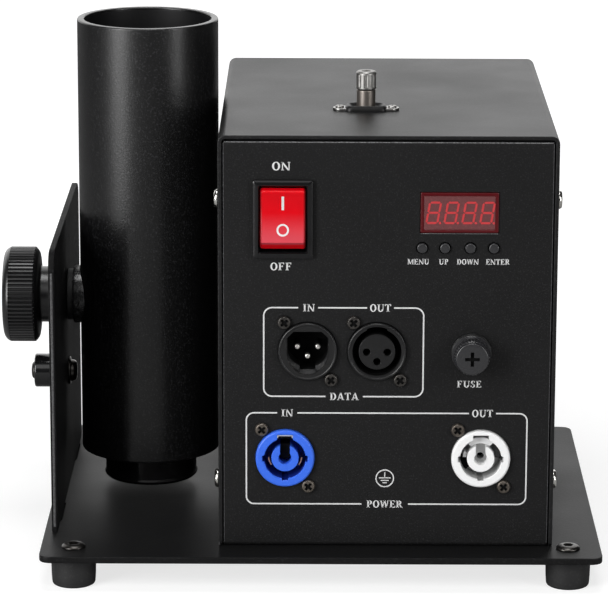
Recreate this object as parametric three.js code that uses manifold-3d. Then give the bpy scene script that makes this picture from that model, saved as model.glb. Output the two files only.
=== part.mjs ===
// A confetti launcher: a tilting launch barrel beside a sheet-metal control box, both on one base plate.
// Lengths are millimetres, +Z is up and the control panel faces -Y.
// Layout: x runs right from the box's left wall, y back from the cover's front edge,
// and z up from the base plate.
import * as THREE from 'three';
import { mergeVertices } from 'three/addons/utils/BufferGeometryUtils.js';
import Module from 'manifold-3d';

// Facets, gaps and the overrun of cutting tools
const fineSides = 56;
const ringSides = 28;
const roundSides = 18;
const smallSides = 12;
const screwSides = 8;
const cornerSteps = 3;
const weldTolerance = 1e-4;
const seatGap = 0.3;
const cutOverrun = 1;

// Base plate, its feet and their screws
const plateThickness = 2.8;
const plateLeftReach = 73;
const plateRightReach = 20;
const plateFrontReach = 15;
const plateCornerRadius = 5.5;
const footInset = 13.5;
const footHeight = 12.5;
const footTopRadius = 9.3;
const footBottomRadius = 8.8;
const footEdgeRadius = 1.4;
const footBoreRadius = 2.9;
const footBoreDepth = 9;
const footPlugRadius = 5.4;
const footScrewHeadRadius = 4.9;
const footScrewHeadHeight = 2.4;
const footScrewShankRadius = 2.4;
const footScrewShankLength = 10;
const footScrewHexRadius = 1.9;
const footScrewHexDepth = 1.5;

// Control box: the bent cover over the U-shaped chassis that carries the panel
const boxWidth = 137;
const boxHeight = 172;
const boxDepth = 177;
const coverWall = 1.6;
const coverBendRadius = 3.2;
const coverFootRadius = 2;
const chassisWall = 1.5;
const chassisBendRadius = 1.8;
const panelSetback = 0.8;
const seamGap = 0.5;
const topFlangeDepth = 12;
const sideFlangeDepth = 17;
const sideFlangeEndGap = 6;
const sideFlangeInset = 0.2;

// Cover screws, in rows at the front and back of both side walls
const coverScrewInset = 9;
const coverScrewLow = 26.6;
const coverScrewDrop = 27.6;
const coverScrewHeadRadius = 3.9;
const coverScrewHeadHeight = 1.8;
const coverScrewShankRadius = 1.9;
const coverScrewShankLength = 6;

// Rocker switch
const rockerLeftInset = 26.2;
const rockerTopDrop = 34.2;
const bezelWidth = 24;
const bezelHeight = 32;
const bezelDepth = 2.2;
const bezelCornerRadius = 0.8;
const rockerWidth = 18.2;
const rockerHalfLength = 13;
const rockerValley = 2.7;
const rockerRise = 2.4;
const rockerPivotDepth = 1.4;
const rockerHeelLength = 9.5;
const rockerHeelDepth = 5;
const rockerEndBand = 1.8;
const rockerFaceSteps = 6;
const rockerTurn = 10;
const switchBodyWidth = 21.4;
const switchBodyHeight = 28.2;
const switchBodyDepth = 22;
const switchFloor = 3;
const bladeWidth = 6.3;
const bladeThickness = 0.8;
const bladeLength = 9;
const bladeSpacing = 7;

// Display, its buttons and the board behind them
const displayRightInset = 39.8;
const displayTopDrop = 31.4;
const displayWidth = 31.4;
const displayHeight = 16.4;
const displayProud = 0.5;
const windowThickness = 3.2;
const displayBlockDepth = 6;
const buttonDrop = 14.6;
const buttonOffsets = [-14.9, -5.7, 4.5, 14];
const buttonNames = ['button_menu', 'button_up', 'button_down', 'button_enter'];
const buttonRadius = 2.2;
const buttonProud = 1.2;
const buttonCollarRadius = 3.2;
const buttonCollarThickness = 1;
const buttonStemRadius = 1.6;
const buttonTravel = 0.8;
const switchBlockSize = 6;
const switchBlockDepth = 2.4;
const boardThickness = 1.6;
const boardSideMargin = 4;
const boardTopMargin = 5;
const boardBottomMargin = 8;
const boardPostRadius = 1.8;
const boardPostInset = 2.2;

// Round panel sockets: the front ring passes through the panel from a plate behind it
const socketRingRadius = 12;
const socketRingProud = 2;
const socketRingEdge = 0.6;
const socketPlateWidth = 26;
const socketPlateHeight = 31;
const socketPlateThickness = 2;
const socketPlateCorner = 2.5;
const socketBodyRadius = 10.9;
const socketBodyDepth = 22;
const socketScrewSide = 9.5;
const socketScrewRise = 12;
const socketScrewHeadRadius = 2.85;
const socketScrewHeadHeight = 1.7;
const socketScrewShankRadius = 1.4;
const socketScrewShankLength = 6;

// Three-pin data sockets
const dataSpacing = 28.1;
const plugBoreRadius = 8.4;
const plugBoreFlat = 7.6;
const plugKeyWidth = 6.2;
const plugKeyDepth = 0.9;
const insertDepth = 11;
const insertThickness = 5;
const insertShoulder = 1;
const pinSpread = 4.2;
const pinDrop = 2;
const pinRadius = 1.15;
const pinLength = 8.4;
const jackBoreRadius = 9.9;
const jackFaceRadius = 7.4;
const jackFaceSetback = 0.6;
const jackHoleRadius = 1.5;
const jackHoleDrop = 1.1;
const jackHoleDepth = 7;
const jackLatchWidth = 6.6;
const jackLatchDepth = 3;
const jackLatchReach = 0.9;

// Round power sockets
const powerInInset = 27.2;
const powerOutInset = 29.9;
const powerBoreRadius = 8.5;
const powerBoreDepth = 9;
const powerPostRadius = 5.6;
const powerPostSetback = 0.8;
const powerTopKeyWidth = 6.4;
const powerKeyReach = 1.5;
const powerSideKeyWidth = 2.6;
const powerSlotWidth = 3.8;
const powerSlotDepth = 6;
const powerHoleRadius = 2.1;
const powerHoleDepth = 8;

// Fuse holder
const fuseRightInset = 34.3;
const fuseDrop = 0.6;
const fuseFlangeRadius = 8.2;
const fuseFlangeThickness = 1.4;
const fuseBodyRadius = 6.2;
const fuseBodyDepth = 32;
const fuseBodyWall = 1.8;
const fuseFloor = 3;
const fuseNutRadius = 9;
const fuseNutThickness = 3;
const fuseRingRadius = 7.9;
const fuseRingLength = 2.4;
const fuseGripRadius = 7.3;
const fuseGripLength = 4.2;
const fuseRibDepth = 0.35;
const fuseRibCount = 36;
const fuseNeckLength = 0.6;
const fuseFaceRadius = 6.6;
const fuseCapHeight = 10.4;
const fuseFaceEdge = 0.6;
const fuseSlotLength = 6;
const fuseSlotWidth = 1.4;
const fuseSlotDepth = 2.4;
const fuseCarrierLength = 8;
const fuseCarrierSocket = 5;
const fuseRadius = 2.6;
const fuseLength = 20;
const fuseEndLength = 5;
const fuseGlassInset = 0.25;

// Screw-capped aerial post on the box top
const aerialX = 60;
const aerialY = 55;
const earSpan = 27.6;
const earWidth = 7;
const earThickness = 1.1;
const earScrewRadius = 1.8;
const earScrewHeight = 0.8;
const earScrewInset = 2.9;
const collarLength = 17.4;
const collarWidth = 10;
const collarHeight = 2.8;
const collarCornerRadius = 4;
const collarTopInset = 1.4;
const postRadius = 3.9;
const postRise = 7.6;
const postSpigotRadius = 2.4;
const postSpigotLength = 5;
const postTailLength = 9;
const aerialCapRadius = 4.2;
const aerialCapHeight = 7.4;
const aerialCapEdge = 0.7;
const aerialFluteCount = 8;
const aerialFluteRadius = 1.5;
const aerialFluteBite = 0.7;
const aerialDimpleRadius = 2;
const aerialDimpleDepth = 0.9;

// Side bracket that carries the barrel
const bracketThickness = 2.5;
const bracketFront = 18;
const bracketBackInset = 15;
const bracketHeight = 119;
const bracketCornerRadius = 9;
const bracketTabLength = 24;
const bracketTabInset = 16;

// Barrel and the neck that closes its foot
const barrelRadius = 29.8;
const barrelWall = 3;
const barrelLength = 187.5;
const barrelRimEdge = 0.8;
const barrelBoxGap = 2.2;
const barrelBracketGap = 5.6;
const pivotHeight = 84;
const barrelBelowPivot = 67;
const neckRadius = 20.1;
const neckWall = 3.4;
const neckDrop = 13;
const neckPlugLength = 9;
const neckLipHeight = 1.6;
const neckLipInset = 0.5;
const contactRadius = 4;
const contactRise = 6;
const contactFlangeRadius = 9;
const contactFlangeThickness = 2;
const contactTailRadius = 3;

// Pivot stack between bracket and barrel, and the clamp knob outside
const saddleRadius = 12.5;
const saddleEdge = 0.8;
const washerThickness = 2.8;
const washerRadius = 11;
const boltRadius = 4;
const boltSaddleDepth = 5.2;
const knobHubRadius = 12;
const knobHubLength = 7.4;
const knobLipRadius = 19.4;
const knobLipLength = 2.3;
const knobGripRadius = 20.4;
const knobGripLength = 11.6;
const knobRibCount = 70;
const knobRibDepth = 0.6;
const knobFaceRadius = 17.6;
const knobFaceLength = 2.7;
const knobFaceDish = 0.5;
const knobFaceDishRadius = 13;
const knobBoreDepth = 16;

// Rubber bumper under the knob, with its screw and nut
const bumperDrop = 34;
const bumperRadius = 7.2;
const bumperLength = 12;
const bumperEdge = 1;
const bumperScrewHeadRadius = 3.7;
const bumperScrewHeadHeight = 1.4;
const bumperScrewRadius = 2;
const bumperNutWasherRadius = 6;
const bumperNutWasherThickness = 1;
const bumperNutRadius = 4.6;
const bumperNutThickness = 2.8;

// Power supply on the chassis floor
const supplyLength = 104;
const supplyWidth = 58;
const supplyHeight = 33;
const supplyEdge = 2;
const supplyFootGap = 6;
const supplyFootRadius = 4;
const supplyBackGap = 22;
const supplyTerminalWidth = 40;
const supplyTerminalDepth = 11;
const supplyTerminalHeight = 14;

// Shares that shape heads, ribs and recesses
const headEdgeShare = 0.35;
const headCrownShare = 0.72;
const headCrownHeightShare = 0.86;
const ribLandShare = 0.55;

// Where the sockets lie across and up the panel, as shares of the box
const dataMiddleShare = 0.3675;
const dataHeightShare = 0.482;
const powerHeightShare = 0.22;

// Places worked out from the sizes
const plateLeft = -plateLeftReach;
const plateRight = boxWidth + plateRightReach;
const plateFront = -plateFrontReach;
const plateBack = boxDepth;
const standHeight = plateThickness + footHeight;
const panelFace = panelSetback;
const panelBack = panelFace + chassisWall;
const chassisLeft = coverWall + seamGap;
const chassisRight = boxWidth - chassisLeft;
const chassisTop = boxHeight - coverWall - seamGap;
const chassisRear = boxDepth - panelSetback;
const rockerX = rockerLeftInset;
const rockerZ = boxHeight - rockerTopDrop;
const displayX = boxWidth - displayRightInset;
const displayZ = boxHeight - displayTopDrop;
const buttonZ = displayZ - buttonDrop;
const buttonStarts = buttonOffsets.map((offset) => displayX + offset);
const dataInX = boxWidth * dataMiddleShare - dataSpacing / 2;
const dataOutX = dataInX + dataSpacing;
const dataZ = boxHeight * dataHeightShare;
const powerInX = powerInInset;
const powerOutX = boxWidth - powerOutInset;
const powerZ = boxHeight * powerHeightShare;
const fuseX = boxWidth - fuseRightInset;
const fuseZ = dataZ - fuseDrop;
const barrelX = -(barrelBoxGap + barrelRadius);
const bracketDepth = boxDepth - bracketFront - bracketBackInset;
const pivotY = bracketFront + bracketDepth / 2;
const bracketInnerX = barrelX - barrelRadius - barrelBracketGap;
const bracketOuterX = bracketInnerX - bracketThickness;
const knobHubEndX = bracketOuterX - seatGap - knobHubLength;
const knobOuterX = knobHubEndX - knobLipLength - knobGripLength - knobFaceLength;
const centreX = (knobOuterX + plateRight) / 2;
const centreY = (plateFront + plateBack) / 2;

const wasm = await Module();
wasm.setup();

const axisX = new THREE.Vector3(1, 0, 0);
const axisY = new THREE.Vector3(0, 1, 0);
const axisZ = new THREE.Vector3(0, 0, 1);

// Welds a closed geometry into a solid that can be joined and cut, with its faces turned outward.
function solidFrom(geometry) {
  const bare = geometry.clone();
  bare.deleteAttribute('normal');
  bare.deleteAttribute('uv');
  const welded = mergeVertices(bare, weldTolerance);
  const places = welded.attributes.position;
  const corners = welded.index.array;
  const a = new THREE.Vector3();
  const b = new THREE.Vector3();
  const c = new THREE.Vector3();
  const triangles = [];
  let volume = 0;
  for (let i = 0; i < corners.length; i += 3) {
    const [p, q, r] = [corners[i], corners[i + 1], corners[i + 2]];
    if (p === q || q === r || r === p) continue;
    triangles.push([p, q, r]);
    a.fromBufferAttribute(places, p);
    b.fromBufferAttribute(places, q);
    c.fromBufferAttribute(places, r);
    volume += a.dot(b.cross(c));
  }
  const outward = volume < 0 ? triangles.map(([p, q, r]) => [p, r, q]) : triangles;
  const vertProperties = new Float32Array(places.array);
  const triVerts = new Uint32Array(outward.flat());
  return new wasm.Manifold(new wasm.Mesh({ numProp: 3, vertProperties, triVerts }));
}

function join(...pieces) {
  return pieces.reduce((whole, piece) => whole.add(piece));
}

function cut(body, ...tools) {
  return tools.reduce((rest, tool) => rest.subtract(tool), body);
}

// Stands a drawing in x and z upright, its thickness running back to +y from the given place.
function across(geometry, front) {
  geometry.applyMatrix4(new THREE.Matrix4().makeBasis(axisX, axisZ, axisY.clone().negate()));
  geometry.computeBoundingBox();
  return geometry.translate(0, front - geometry.boundingBox.min.y, 0);
}

// Stands a drawing in y and z upright, its thickness running right to +x from the given place.
function along(geometry, left) {
  geometry.applyMatrix4(new THREE.Matrix4().makeBasis(axisY, axisZ, axisX));
  return geometry.translate(left, 0, 0);
}

// Turns a piece made along its own +y so that it points to the front, the left or the top.
function toFront(geometry) {
  return geometry.rotateX(Math.PI);
}

function toLeft(geometry) {
  return geometry.rotateZ(Math.PI / 2);
}

function toTop(geometry) {
  return geometry.rotateX(Math.PI / 2);
}

function thicken(shape, depth) {
  return new THREE.ExtrudeGeometry(shape, { depth, bevelEnabled: false, curveSegments: cornerSteps });
}

function turned(profile, sides) {
  const points = profile.map(([radius, height]) => new THREE.Vector2(radius, height));
  return new THREE.LatheGeometry(points, sides);
}

// A round bar along its own y, between two heights.
function rod(radius, low, high, sides) {
  const bar = new THREE.CylinderGeometry(radius, radius, high - low, sides);
  return bar.translate(0, (low + high) / 2, 0);
}

function block(left, right, front, back, low, high) {
  const brick = new THREE.BoxGeometry(right - left, back - front, high - low);
  return brick.translate((left + right) / 2, (front + back) / 2, (low + high) / 2);
}

function roundedRectangle(left, bottom, right, top, radius) {
  const shape = new THREE.Shape();
  shape.absarc(right - radius, bottom + radius, radius, -Math.PI / 2, 0, false);
  shape.absarc(right - radius, top - radius, radius, 0, Math.PI / 2, false);
  shape.absarc(left + radius, top - radius, radius, Math.PI / 2, Math.PI, false);
  shape.absarc(left + radius, bottom + radius, radius, Math.PI, Math.PI * 3 / 2, false);
  return shape;
}

function roundedPlate(x, z, width, height, radius) {
  return roundedRectangle(x - width / 2, z - height / 2, x + width / 2, z + height / 2, radius);
}

// A many-sided hole whose flats lie on the given radius.
function roundHole(shape, x, y, radius) {
  const corner = radius / Math.cos(Math.PI / smallSides);
  const points = [];
  for (let i = 0; i < smallSides; i += 1) {
    const turn = i * Math.PI * 2 / smallSides;
    points.push(new THREE.Vector2(x + corner * Math.cos(turn), y - corner * Math.sin(turn)));
  }
  shape.holes.push(new THREE.Path().setFromPoints(points));
}

// An outline with straight ribs round its rim, each with a flat top and a flat valley.
function ribbedOutline(radius, ribDepth, count) {
  const outline = new THREE.Shape();
  const pitch = Math.PI * 2 / count;
  const points = [];
  for (let i = 0; i < count; i += 1) {
    const start = i * pitch;
    const land = pitch * ribLandShare;
    const slope = (pitch - land) / 4;
    points.push([radius, start], [radius, start + land]);
    points.push([radius - ribDepth, start + land + slope], [radius - ribDepth, start + pitch - slope]);
  }
  outline.setFromPoints(points.map(([reach, turn]) =>
    new THREE.Vector2(reach * Math.cos(turn), reach * Math.sin(turn))));
  return outline;
}

// A domed screw along its own +y: its head sits on y = 0 and its shank runs down from there.
function domedScrew(headRadius, headHeight, shankRadius, shankLength) {
  return solidFrom(turned([
    [0, -shankLength],
    [shankRadius, -shankLength],
    [shankRadius, 0],
    [headRadius, 0],
    [headRadius, headHeight * headEdgeShare],
    [headRadius * headCrownShare, headHeight * headCrownHeightShare],
    [0, headHeight],
  ], screwSides));
}

function paint(color, roughness, metalness) {
  return new THREE.MeshStandardMaterial({ color, roughness, metalness });
}

const blackSteel = paint(0x1b1b1d, 0.55, 0.3);
const panelSteel = paint(0x232325, 0.6, 0.3);
const barrelPaint = paint(0x141416, 0.42, 0.3);
const blackPlastic = paint(0x18181a, 0.5, 0);
const blackRubber = paint(0x101012, 0.8, 0);
const brightSteel = paint(0xc8c8c8, 0.25, 1);
const darkSteel = paint(0x4a4541, 0.35, 1);
const redPlastic = paint(0xd00812, 0.3, 0);
const windowRed = paint(0x5a0d12, 0.15, 0);
const bluePlastic = paint(0x2f62e0, 0.35, 0);
const whitePlastic = paint(0xe8e8e8, 0.35, 0);
const boardGreen = paint(0x12351f, 0.6, 0);
const brass = paint(0xb08a3c, 0.3, 1);
const caseAluminium = paint(0xb4b4b4, 0.4, 1);
const clearGlass = paint(0xbfc8c6, 0.1, 0);

// Group placed so that the origin is under the middle of the whole part, on the surface it stands on.
const launcher = new THREE.Group();
launcher.position.set(-centreX, -centreY, standHeight);

function add(parent, name, body, material, x, y, z) {
  const found = body.getMesh();
  const geometry = new THREE.BufferGeometry();
  geometry.setAttribute('position', new THREE.BufferAttribute(new Float32Array(found.vertProperties), 3));
  geometry.setIndex(new THREE.BufferAttribute(new Uint32Array(found.triVerts), 1));
  geometry.computeVertexNormals();
  const mesh = new THREE.Mesh(geometry, material);
  mesh.name = name;
  mesh.position.set(x, y, z);
  parent.add(mesh);
  return mesh;
}

// Base plate with its foot holes and the two slots that take the bracket's tabs.
const footPlaces = [
  [plateLeft + footInset, plateFront + footInset],
  [plateRight - footInset, plateFront + footInset],
  [plateLeft + footInset, plateBack - footInset],
  [plateRight - footInset, plateBack - footInset],
];
const tabFronts = [
  bracketFront + bracketTabInset,
  bracketFront + bracketDepth - bracketTabInset - bracketTabLength,
];

function basePlate() {
  const outline = roundedRectangle(plateLeft, plateFront, plateRight, plateBack, plateCornerRadius);
  for (const [x, y] of footPlaces) roundHole(outline, x, y, footScrewShankRadius + seatGap);
  const plate = solidFrom(thicken(outline, plateThickness).translate(0, 0, -plateThickness));
  const slots = tabFronts.map((front) => solidFrom(block(
    bracketOuterX - seatGap, bracketInnerX + seatGap,
    front - seatGap, front + bracketTabLength + seatGap,
    -plateThickness - cutOverrun, cutOverrun)));
  return cut(plate, ...slots);
}

function foot() {
  return solidFrom(toTop(turned([
    [footBoreRadius, 0],
    [footBoreRadius, -footBoreDepth],
    [footPlugRadius, -footBoreDepth],
    [footPlugRadius, -footHeight],
    [footBottomRadius - footEdgeRadius, -footHeight],
    [footBottomRadius, -footHeight + footEdgeRadius],
    [footTopRadius, -footEdgeRadius],
    [footTopRadius - footEdgeRadius / 2, 0],
    [footBoreRadius, 0],
  ], roundSides)));
}

function footScrew() {
  const screw = domedScrew(footScrewHeadRadius, footScrewHeadHeight,
    footScrewShankRadius, footScrewShankLength);
  const hexFloor = footScrewHeadHeight - footScrewHexDepth;
  const hex = solidFrom(rod(footScrewHexRadius, hexFloor, footScrewHeadHeight + cutOverrun, 6));
  return cut(screw, hex);
}

add(launcher, 'base_plate', basePlate(), blackSteel, 0, 0, 0);
footPlaces.forEach(([x, y], i) => {
  add(launcher, `foot_${i + 1}`, foot(), blackRubber, x, y, -plateThickness);
  add(launcher, `foot_screw_${i + 1}`, footScrew(), darkSteel, x, y, 0).rotation.x = Math.PI / 2;
});

// Side bracket: an upright plate whose tabs drop into the base plate's slots.
const bumperZ = pivotHeight - bumperDrop;

function sideBracket() {
  const back = bracketFront + bracketDepth;
  const outline = new THREE.Shape();
  outline.moveTo(bracketFront, 0);
  for (const front of tabFronts) {
    outline.lineTo(front, 0);
    outline.lineTo(front, -plateThickness);
    outline.lineTo(front + bracketTabLength, -plateThickness);
    outline.lineTo(front + bracketTabLength, 0);
  }
  outline.lineTo(back, 0);
  outline.absarc(back - bracketCornerRadius, bracketHeight - bracketCornerRadius, bracketCornerRadius,
    0, Math.PI / 2, false);
  outline.absarc(bracketFront + bracketCornerRadius, bracketHeight - bracketCornerRadius,
    bracketCornerRadius, Math.PI / 2, Math.PI, false);
  roundHole(outline, pivotY, pivotHeight, boltRadius + seatGap);
  roundHole(outline, pivotY, bumperZ, bumperScrewRadius + seatGap);
  return solidFrom(along(thicken(outline, bracketThickness), 0));
}

add(launcher, 'side_bracket', sideBracket(), blackSteel, bracketOuterX, 0, 0);

// Rubber bumper outside the bracket, with its screw and its domed nut inside.
function bumper() {
  return solidFrom(toLeft(turned([
    [bumperScrewRadius + seatGap, 0],
    [bumperRadius, 0],
    [bumperRadius, bumperLength - bumperEdge],
    [bumperRadius - bumperEdge, bumperLength],
    [bumperScrewRadius + seatGap, bumperLength],
    [bumperScrewRadius + seatGap, 0],
  ], roundSides)));
}

function bumperNut() {
  const inner = bumperScrewRadius + seatGap;
  const top = bumperNutWasherThickness + bumperNutThickness;
  return solidFrom(turned([
    [inner, 0],
    [bumperNutWasherRadius, 0],
    [bumperNutWasherRadius, bumperNutWasherThickness],
    [bumperNutRadius, bumperNutWasherThickness],
    [bumperNutRadius, bumperNutWasherThickness + bumperNutThickness * headEdgeShare],
    [bumperNutRadius * headCrownShare, top],
    [inner, top],
    [inner, 0],
  ], roundSides));
}

const bumperScrewLength = bumperLength + bracketThickness + bumperNutWasherThickness + bumperNutThickness;
const bumperScrew = domedScrew(bumperScrewHeadRadius, bumperScrewHeadHeight,
  bumperScrewRadius, bumperScrewLength);
add(launcher, 'side_bumper', bumper(), blackRubber, bracketOuterX, pivotY, bumperZ);
add(launcher, 'bumper_screw', bumperScrew, darkSteel, bracketOuterX - bumperLength, pivotY, bumperZ)
  .rotation.z = Math.PI / 2;
add(launcher, 'bumper_nut', bumperNut(), darkSteel, bracketInnerX, pivotY, bumperZ)
  .rotation.z = -Math.PI / 2;

// Cover: one sheet bent over the box, open at the front, back and bottom.
const coverScrewRows = [coverScrewInset, boxDepth - coverScrewInset];
const coverScrewHeights = [coverScrewLow, boxHeight - coverScrewDrop];

function sideHoles(radius, left, right) {
  const holes = [];
  for (const y of coverScrewRows) {
    for (const z of coverScrewHeights) {
      const hole = rod(radius, left - cutOverrun, right + cutOverrun, screwSides);
      holes.push(solidFrom(hole.rotateZ(-Math.PI / 2).translate(0, y, z)));
    }
  }
  return holes;
}

function cover() {
  const bend = coverBendRadius;
  const inner = bend - coverWall;
  const low = seatGap;
  const outline = new THREE.Shape();
  outline.moveTo(0, low);
  outline.lineTo(coverWall, low);
  outline.absarc(coverWall + inner, boxHeight - coverWall - inner, inner, Math.PI, Math.PI / 2, true);
  outline.absarc(boxWidth - coverWall - inner, boxHeight - coverWall - inner, inner, Math.PI / 2, 0, true);
  outline.lineTo(boxWidth - coverWall, low);
  outline.lineTo(boxWidth, low);
  outline.absarc(boxWidth - bend, boxHeight - bend, bend, 0, Math.PI / 2, false);
  outline.absarc(bend, boxHeight - bend, bend, Math.PI / 2, Math.PI, false);
  const shell = solidFrom(across(thicken(outline, boxDepth), 0));
  const corner = roundedRectangle(0, low, boxDepth, boxHeight + cutOverrun, coverFootRadius);
  const trimmed = shell.intersect(solidFrom(along(thicken(corner, boxWidth), 0)));
  const top = solidFrom(toTop(rod(postSpigotRadius + seatGap, 0, boxHeight + cutOverrun, smallSides))
    .translate(aerialX, aerialY, 0));
  return cut(trimmed, ...sideHoles(coverScrewShankRadius + seatGap, 0, boxWidth), top);
}

// Chassis: front panel, floor and back wall in one bent sheet, with flanges for the cover screws.
const socketPlaces = [[dataInX, dataZ], [dataOutX, dataZ], [powerInX, powerZ], [powerOutX, powerZ]];

function socketScrewPlaces(x, z) {
  return [[x - socketScrewSide, z + socketScrewRise], [x + socketScrewSide, z - socketScrewRise]];
}

function panelOpenings() {
  const from = panelFace - cutOverrun;
  const depth = chassisWall + 2 * cutOverrun;
  const round = (x, z, radius, sides) => solidFrom(
    rod(radius, from, from + depth, sides).translate(x, 0, z));
  const square = (x, z, width, height) => solidFrom(block(
    x - width / 2, x + width / 2, from, from + depth, z - height / 2, z + height / 2));
  const openings = [];
  openings.push(square(rockerX, rockerZ, switchBodyWidth + 2 * seatGap, switchBodyHeight + 2 * seatGap));
  openings.push(square(displayX, displayZ, displayWidth + 2 * seatGap, displayHeight + 2 * seatGap));
  openings.push(round(fuseX, fuseZ, fuseBodyRadius + seatGap, roundSides));
  for (const x of buttonStarts) openings.push(round(x, buttonZ, buttonRadius + seatGap, smallSides));
  for (const [x, z] of socketPlaces) {
    openings.push(round(x, z, socketRingRadius + seatGap, ringSides));
    for (const [sx, sz] of socketScrewPlaces(x, z)) {
      openings.push(round(sx, sz, socketScrewShankRadius + seatGap, screwSides));
    }
  }
  return openings;
}

function chassis() {
  const outline = roundedRectangle(panelFace, 0, chassisRear, chassisTop, chassisBendRadius);
  outline.holes.push(roundedRectangle(panelFace + chassisWall, chassisWall, chassisRear - chassisWall,
    chassisTop - chassisWall, chassisBendRadius - chassisWall));
  const ring = solidFrom(along(thicken(outline, chassisRight - chassisLeft), chassisLeft));
  const gap = solidFrom(block(chassisLeft - cutOverrun, chassisRight + cutOverrun,
    panelFace + topFlangeDepth, chassisRear - topFlangeDepth, chassisTop - 2 * chassisWall, boxHeight));
  const low = chassisBendRadius + sideFlangeEndGap;
  const high = chassisTop - chassisBendRadius - sideFlangeEndGap;
  const flanges = [];
  for (const left of [chassisLeft + sideFlangeInset, chassisRight - sideFlangeInset - chassisWall]) {
    const right = left + chassisWall;
    const frontEdge = panelFace + chassisWall / 2;
    const rearEdge = chassisRear - chassisWall / 2;
    flanges.push(solidFrom(block(left, right, frontEdge, panelFace + sideFlangeDepth, low, high)));
    flanges.push(solidFrom(block(left, right, chassisRear - sideFlangeDepth, rearEdge, low, high)));
  }
  const holes = sideHoles(coverScrewShankRadius + seatGap, chassisLeft, chassisRight);
  return cut(join(cut(ring, gap), ...flanges), ...holes, ...panelOpenings());
}

add(launcher, 'cover', cover(), blackSteel, 0, 0, 0);
add(launcher, 'chassis', chassis(), panelSteel, 0, 0, 0);

const coverScrew = domedScrew(coverScrewHeadRadius, coverScrewHeadHeight,
  coverScrewShankRadius, coverScrewShankLength);
let coverScrewCount = 0;
for (const y of coverScrewRows) {
  for (const z of coverScrewHeights) {
    coverScrewCount += 1;
    add(launcher, `cover_screw_left_${coverScrewCount}`, coverScrew, brightSteel, 0, y, z)
      .rotation.z = Math.PI / 2;
    add(launcher, `cover_screw_right_${coverScrewCount}`, coverScrew, brightSteel, boxWidth, y, z)
      .rotation.z = -Math.PI / 2;
  }
}

// Rocker switch: a snap-in body with its bezel, and the rocker that tips in it about x.
function rockerFrame() {
  const bezel = thicken(roundedPlate(0, 0, bezelWidth, bezelHeight, bezelCornerRadius), bezelDepth);
  const body = block(-switchBodyWidth / 2, switchBodyWidth / 2, -cutOverrun, switchBodyDepth,
    -switchBodyHeight / 2, switchBodyHeight / 2);
  const cavity = block(-rockerWidth / 2 - seatGap, rockerWidth / 2 + seatGap,
    -bezelDepth - cutOverrun, switchBodyDepth - switchFloor,
    -rockerHalfLength - seatGap, rockerHalfLength + seatGap);
  const bladeStart = switchBodyDepth - switchFloor / 2;
  const bladeEnd = switchBodyDepth + bladeLength;
  const blades = [-bladeSpacing, 0, bladeSpacing].map((z) => solidFrom(block(
    -bladeWidth / 2, bladeWidth / 2, bladeStart, bladeEnd,
    z - bladeThickness / 2, z + bladeThickness / 2)));
  const frame = join(solidFrom(across(bezel, -bezelDepth)), solidFrom(body), ...blades);
  return cut(frame, solidFrom(cavity));
}

// Drawn about its pivot with both ends level and a hollow face, then tipped to the ON side.
// Its ends just clear the body as they swing.
function rocker() {
  const swing = THREE.MathUtils.degToRad(rockerTurn);
  const faceMiddle = -(rockerPivotDepth + rockerValley);
  const reach = (rockerHalfLength + faceMiddle * Math.sin(swing)) / Math.cos(swing);
  const faceHalf = reach - rockerEndBand;
  const facePoint = (i) => [
    faceMiddle - rockerRise * (i / rockerFaceSteps) ** 2,
    faceHalf * i / rockerFaceSteps,
  ];
  const outline = new THREE.Shape();
  outline.moveTo(faceMiddle, 0);
  for (let i = 1; i <= rockerFaceSteps; i += 1) outline.lineTo(...facePoint(-i));
  outline.lineTo(faceMiddle, -reach);
  outline.lineTo(0, -rockerHeelLength);
  outline.lineTo(rockerHeelDepth, 0);
  outline.lineTo(0, rockerHeelLength);
  outline.lineTo(faceMiddle, reach);
  for (let i = rockerFaceSteps; i >= 1; i -= 1) outline.lineTo(...facePoint(i));
  const wedge = along(thicken(outline, rockerWidth), -rockerWidth / 2);
  return solidFrom(wedge.rotateX(-swing));
}

add(launcher, 'rocker_frame', rockerFrame(), blackPlastic, rockerX, panelFace, rockerZ);
add(launcher, 'rocker', rocker(), redPlastic, rockerX, panelFace + rockerPivotDepth, rockerZ);

// Display window, the board with its display block and key switches, and the four buttons.
const windowBack = panelFace - displayProud + windowThickness;
const boardFront = windowBack + displayBlockDepth;
const boardLeft = displayX - displayWidth / 2 - boardSideMargin;
const boardRight = displayX + displayWidth / 2 + boardSideMargin;
const boardLow = buttonZ - boardBottomMargin;
const boardHigh = displayZ + displayHeight / 2 + boardTopMargin;

function displayWindow() {
  return solidFrom(block(-displayWidth / 2, displayWidth / 2, -displayProud, windowThickness - displayProud,
    -displayHeight / 2, displayHeight / 2));
}

function controlBoard() {
  const boardBack = boardFront + boardThickness;
  const board = solidFrom(block(boardLeft, boardRight, boardFront, boardBack, boardLow, boardHigh));
  const display = solidFrom(block(displayX - displayWidth / 2, displayX + displayWidth / 2, windowBack,
    boardFront + boardThickness / 2, displayZ - displayHeight / 2, displayZ + displayHeight / 2));
  const half = switchBlockSize / 2;
  const keys = buttonStarts.map((x) => solidFrom(block(x - half, x + half, boardFront - switchBlockDepth,
    boardFront + boardThickness / 2, buttonZ - half, buttonZ + half)));
  const posts = [];
  for (const x of [boardLeft + boardPostInset, boardRight - boardPostInset]) {
    for (const z of [boardLow + boardPostInset, boardHigh - boardPostInset]) {
      posts.push(solidFrom(rod(boardPostRadius, panelBack, boardFront + boardThickness / 2, smallSides)
        .translate(x, 0, z)));
    }
  }
  return join(board, display, ...keys, ...posts);
}

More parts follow.
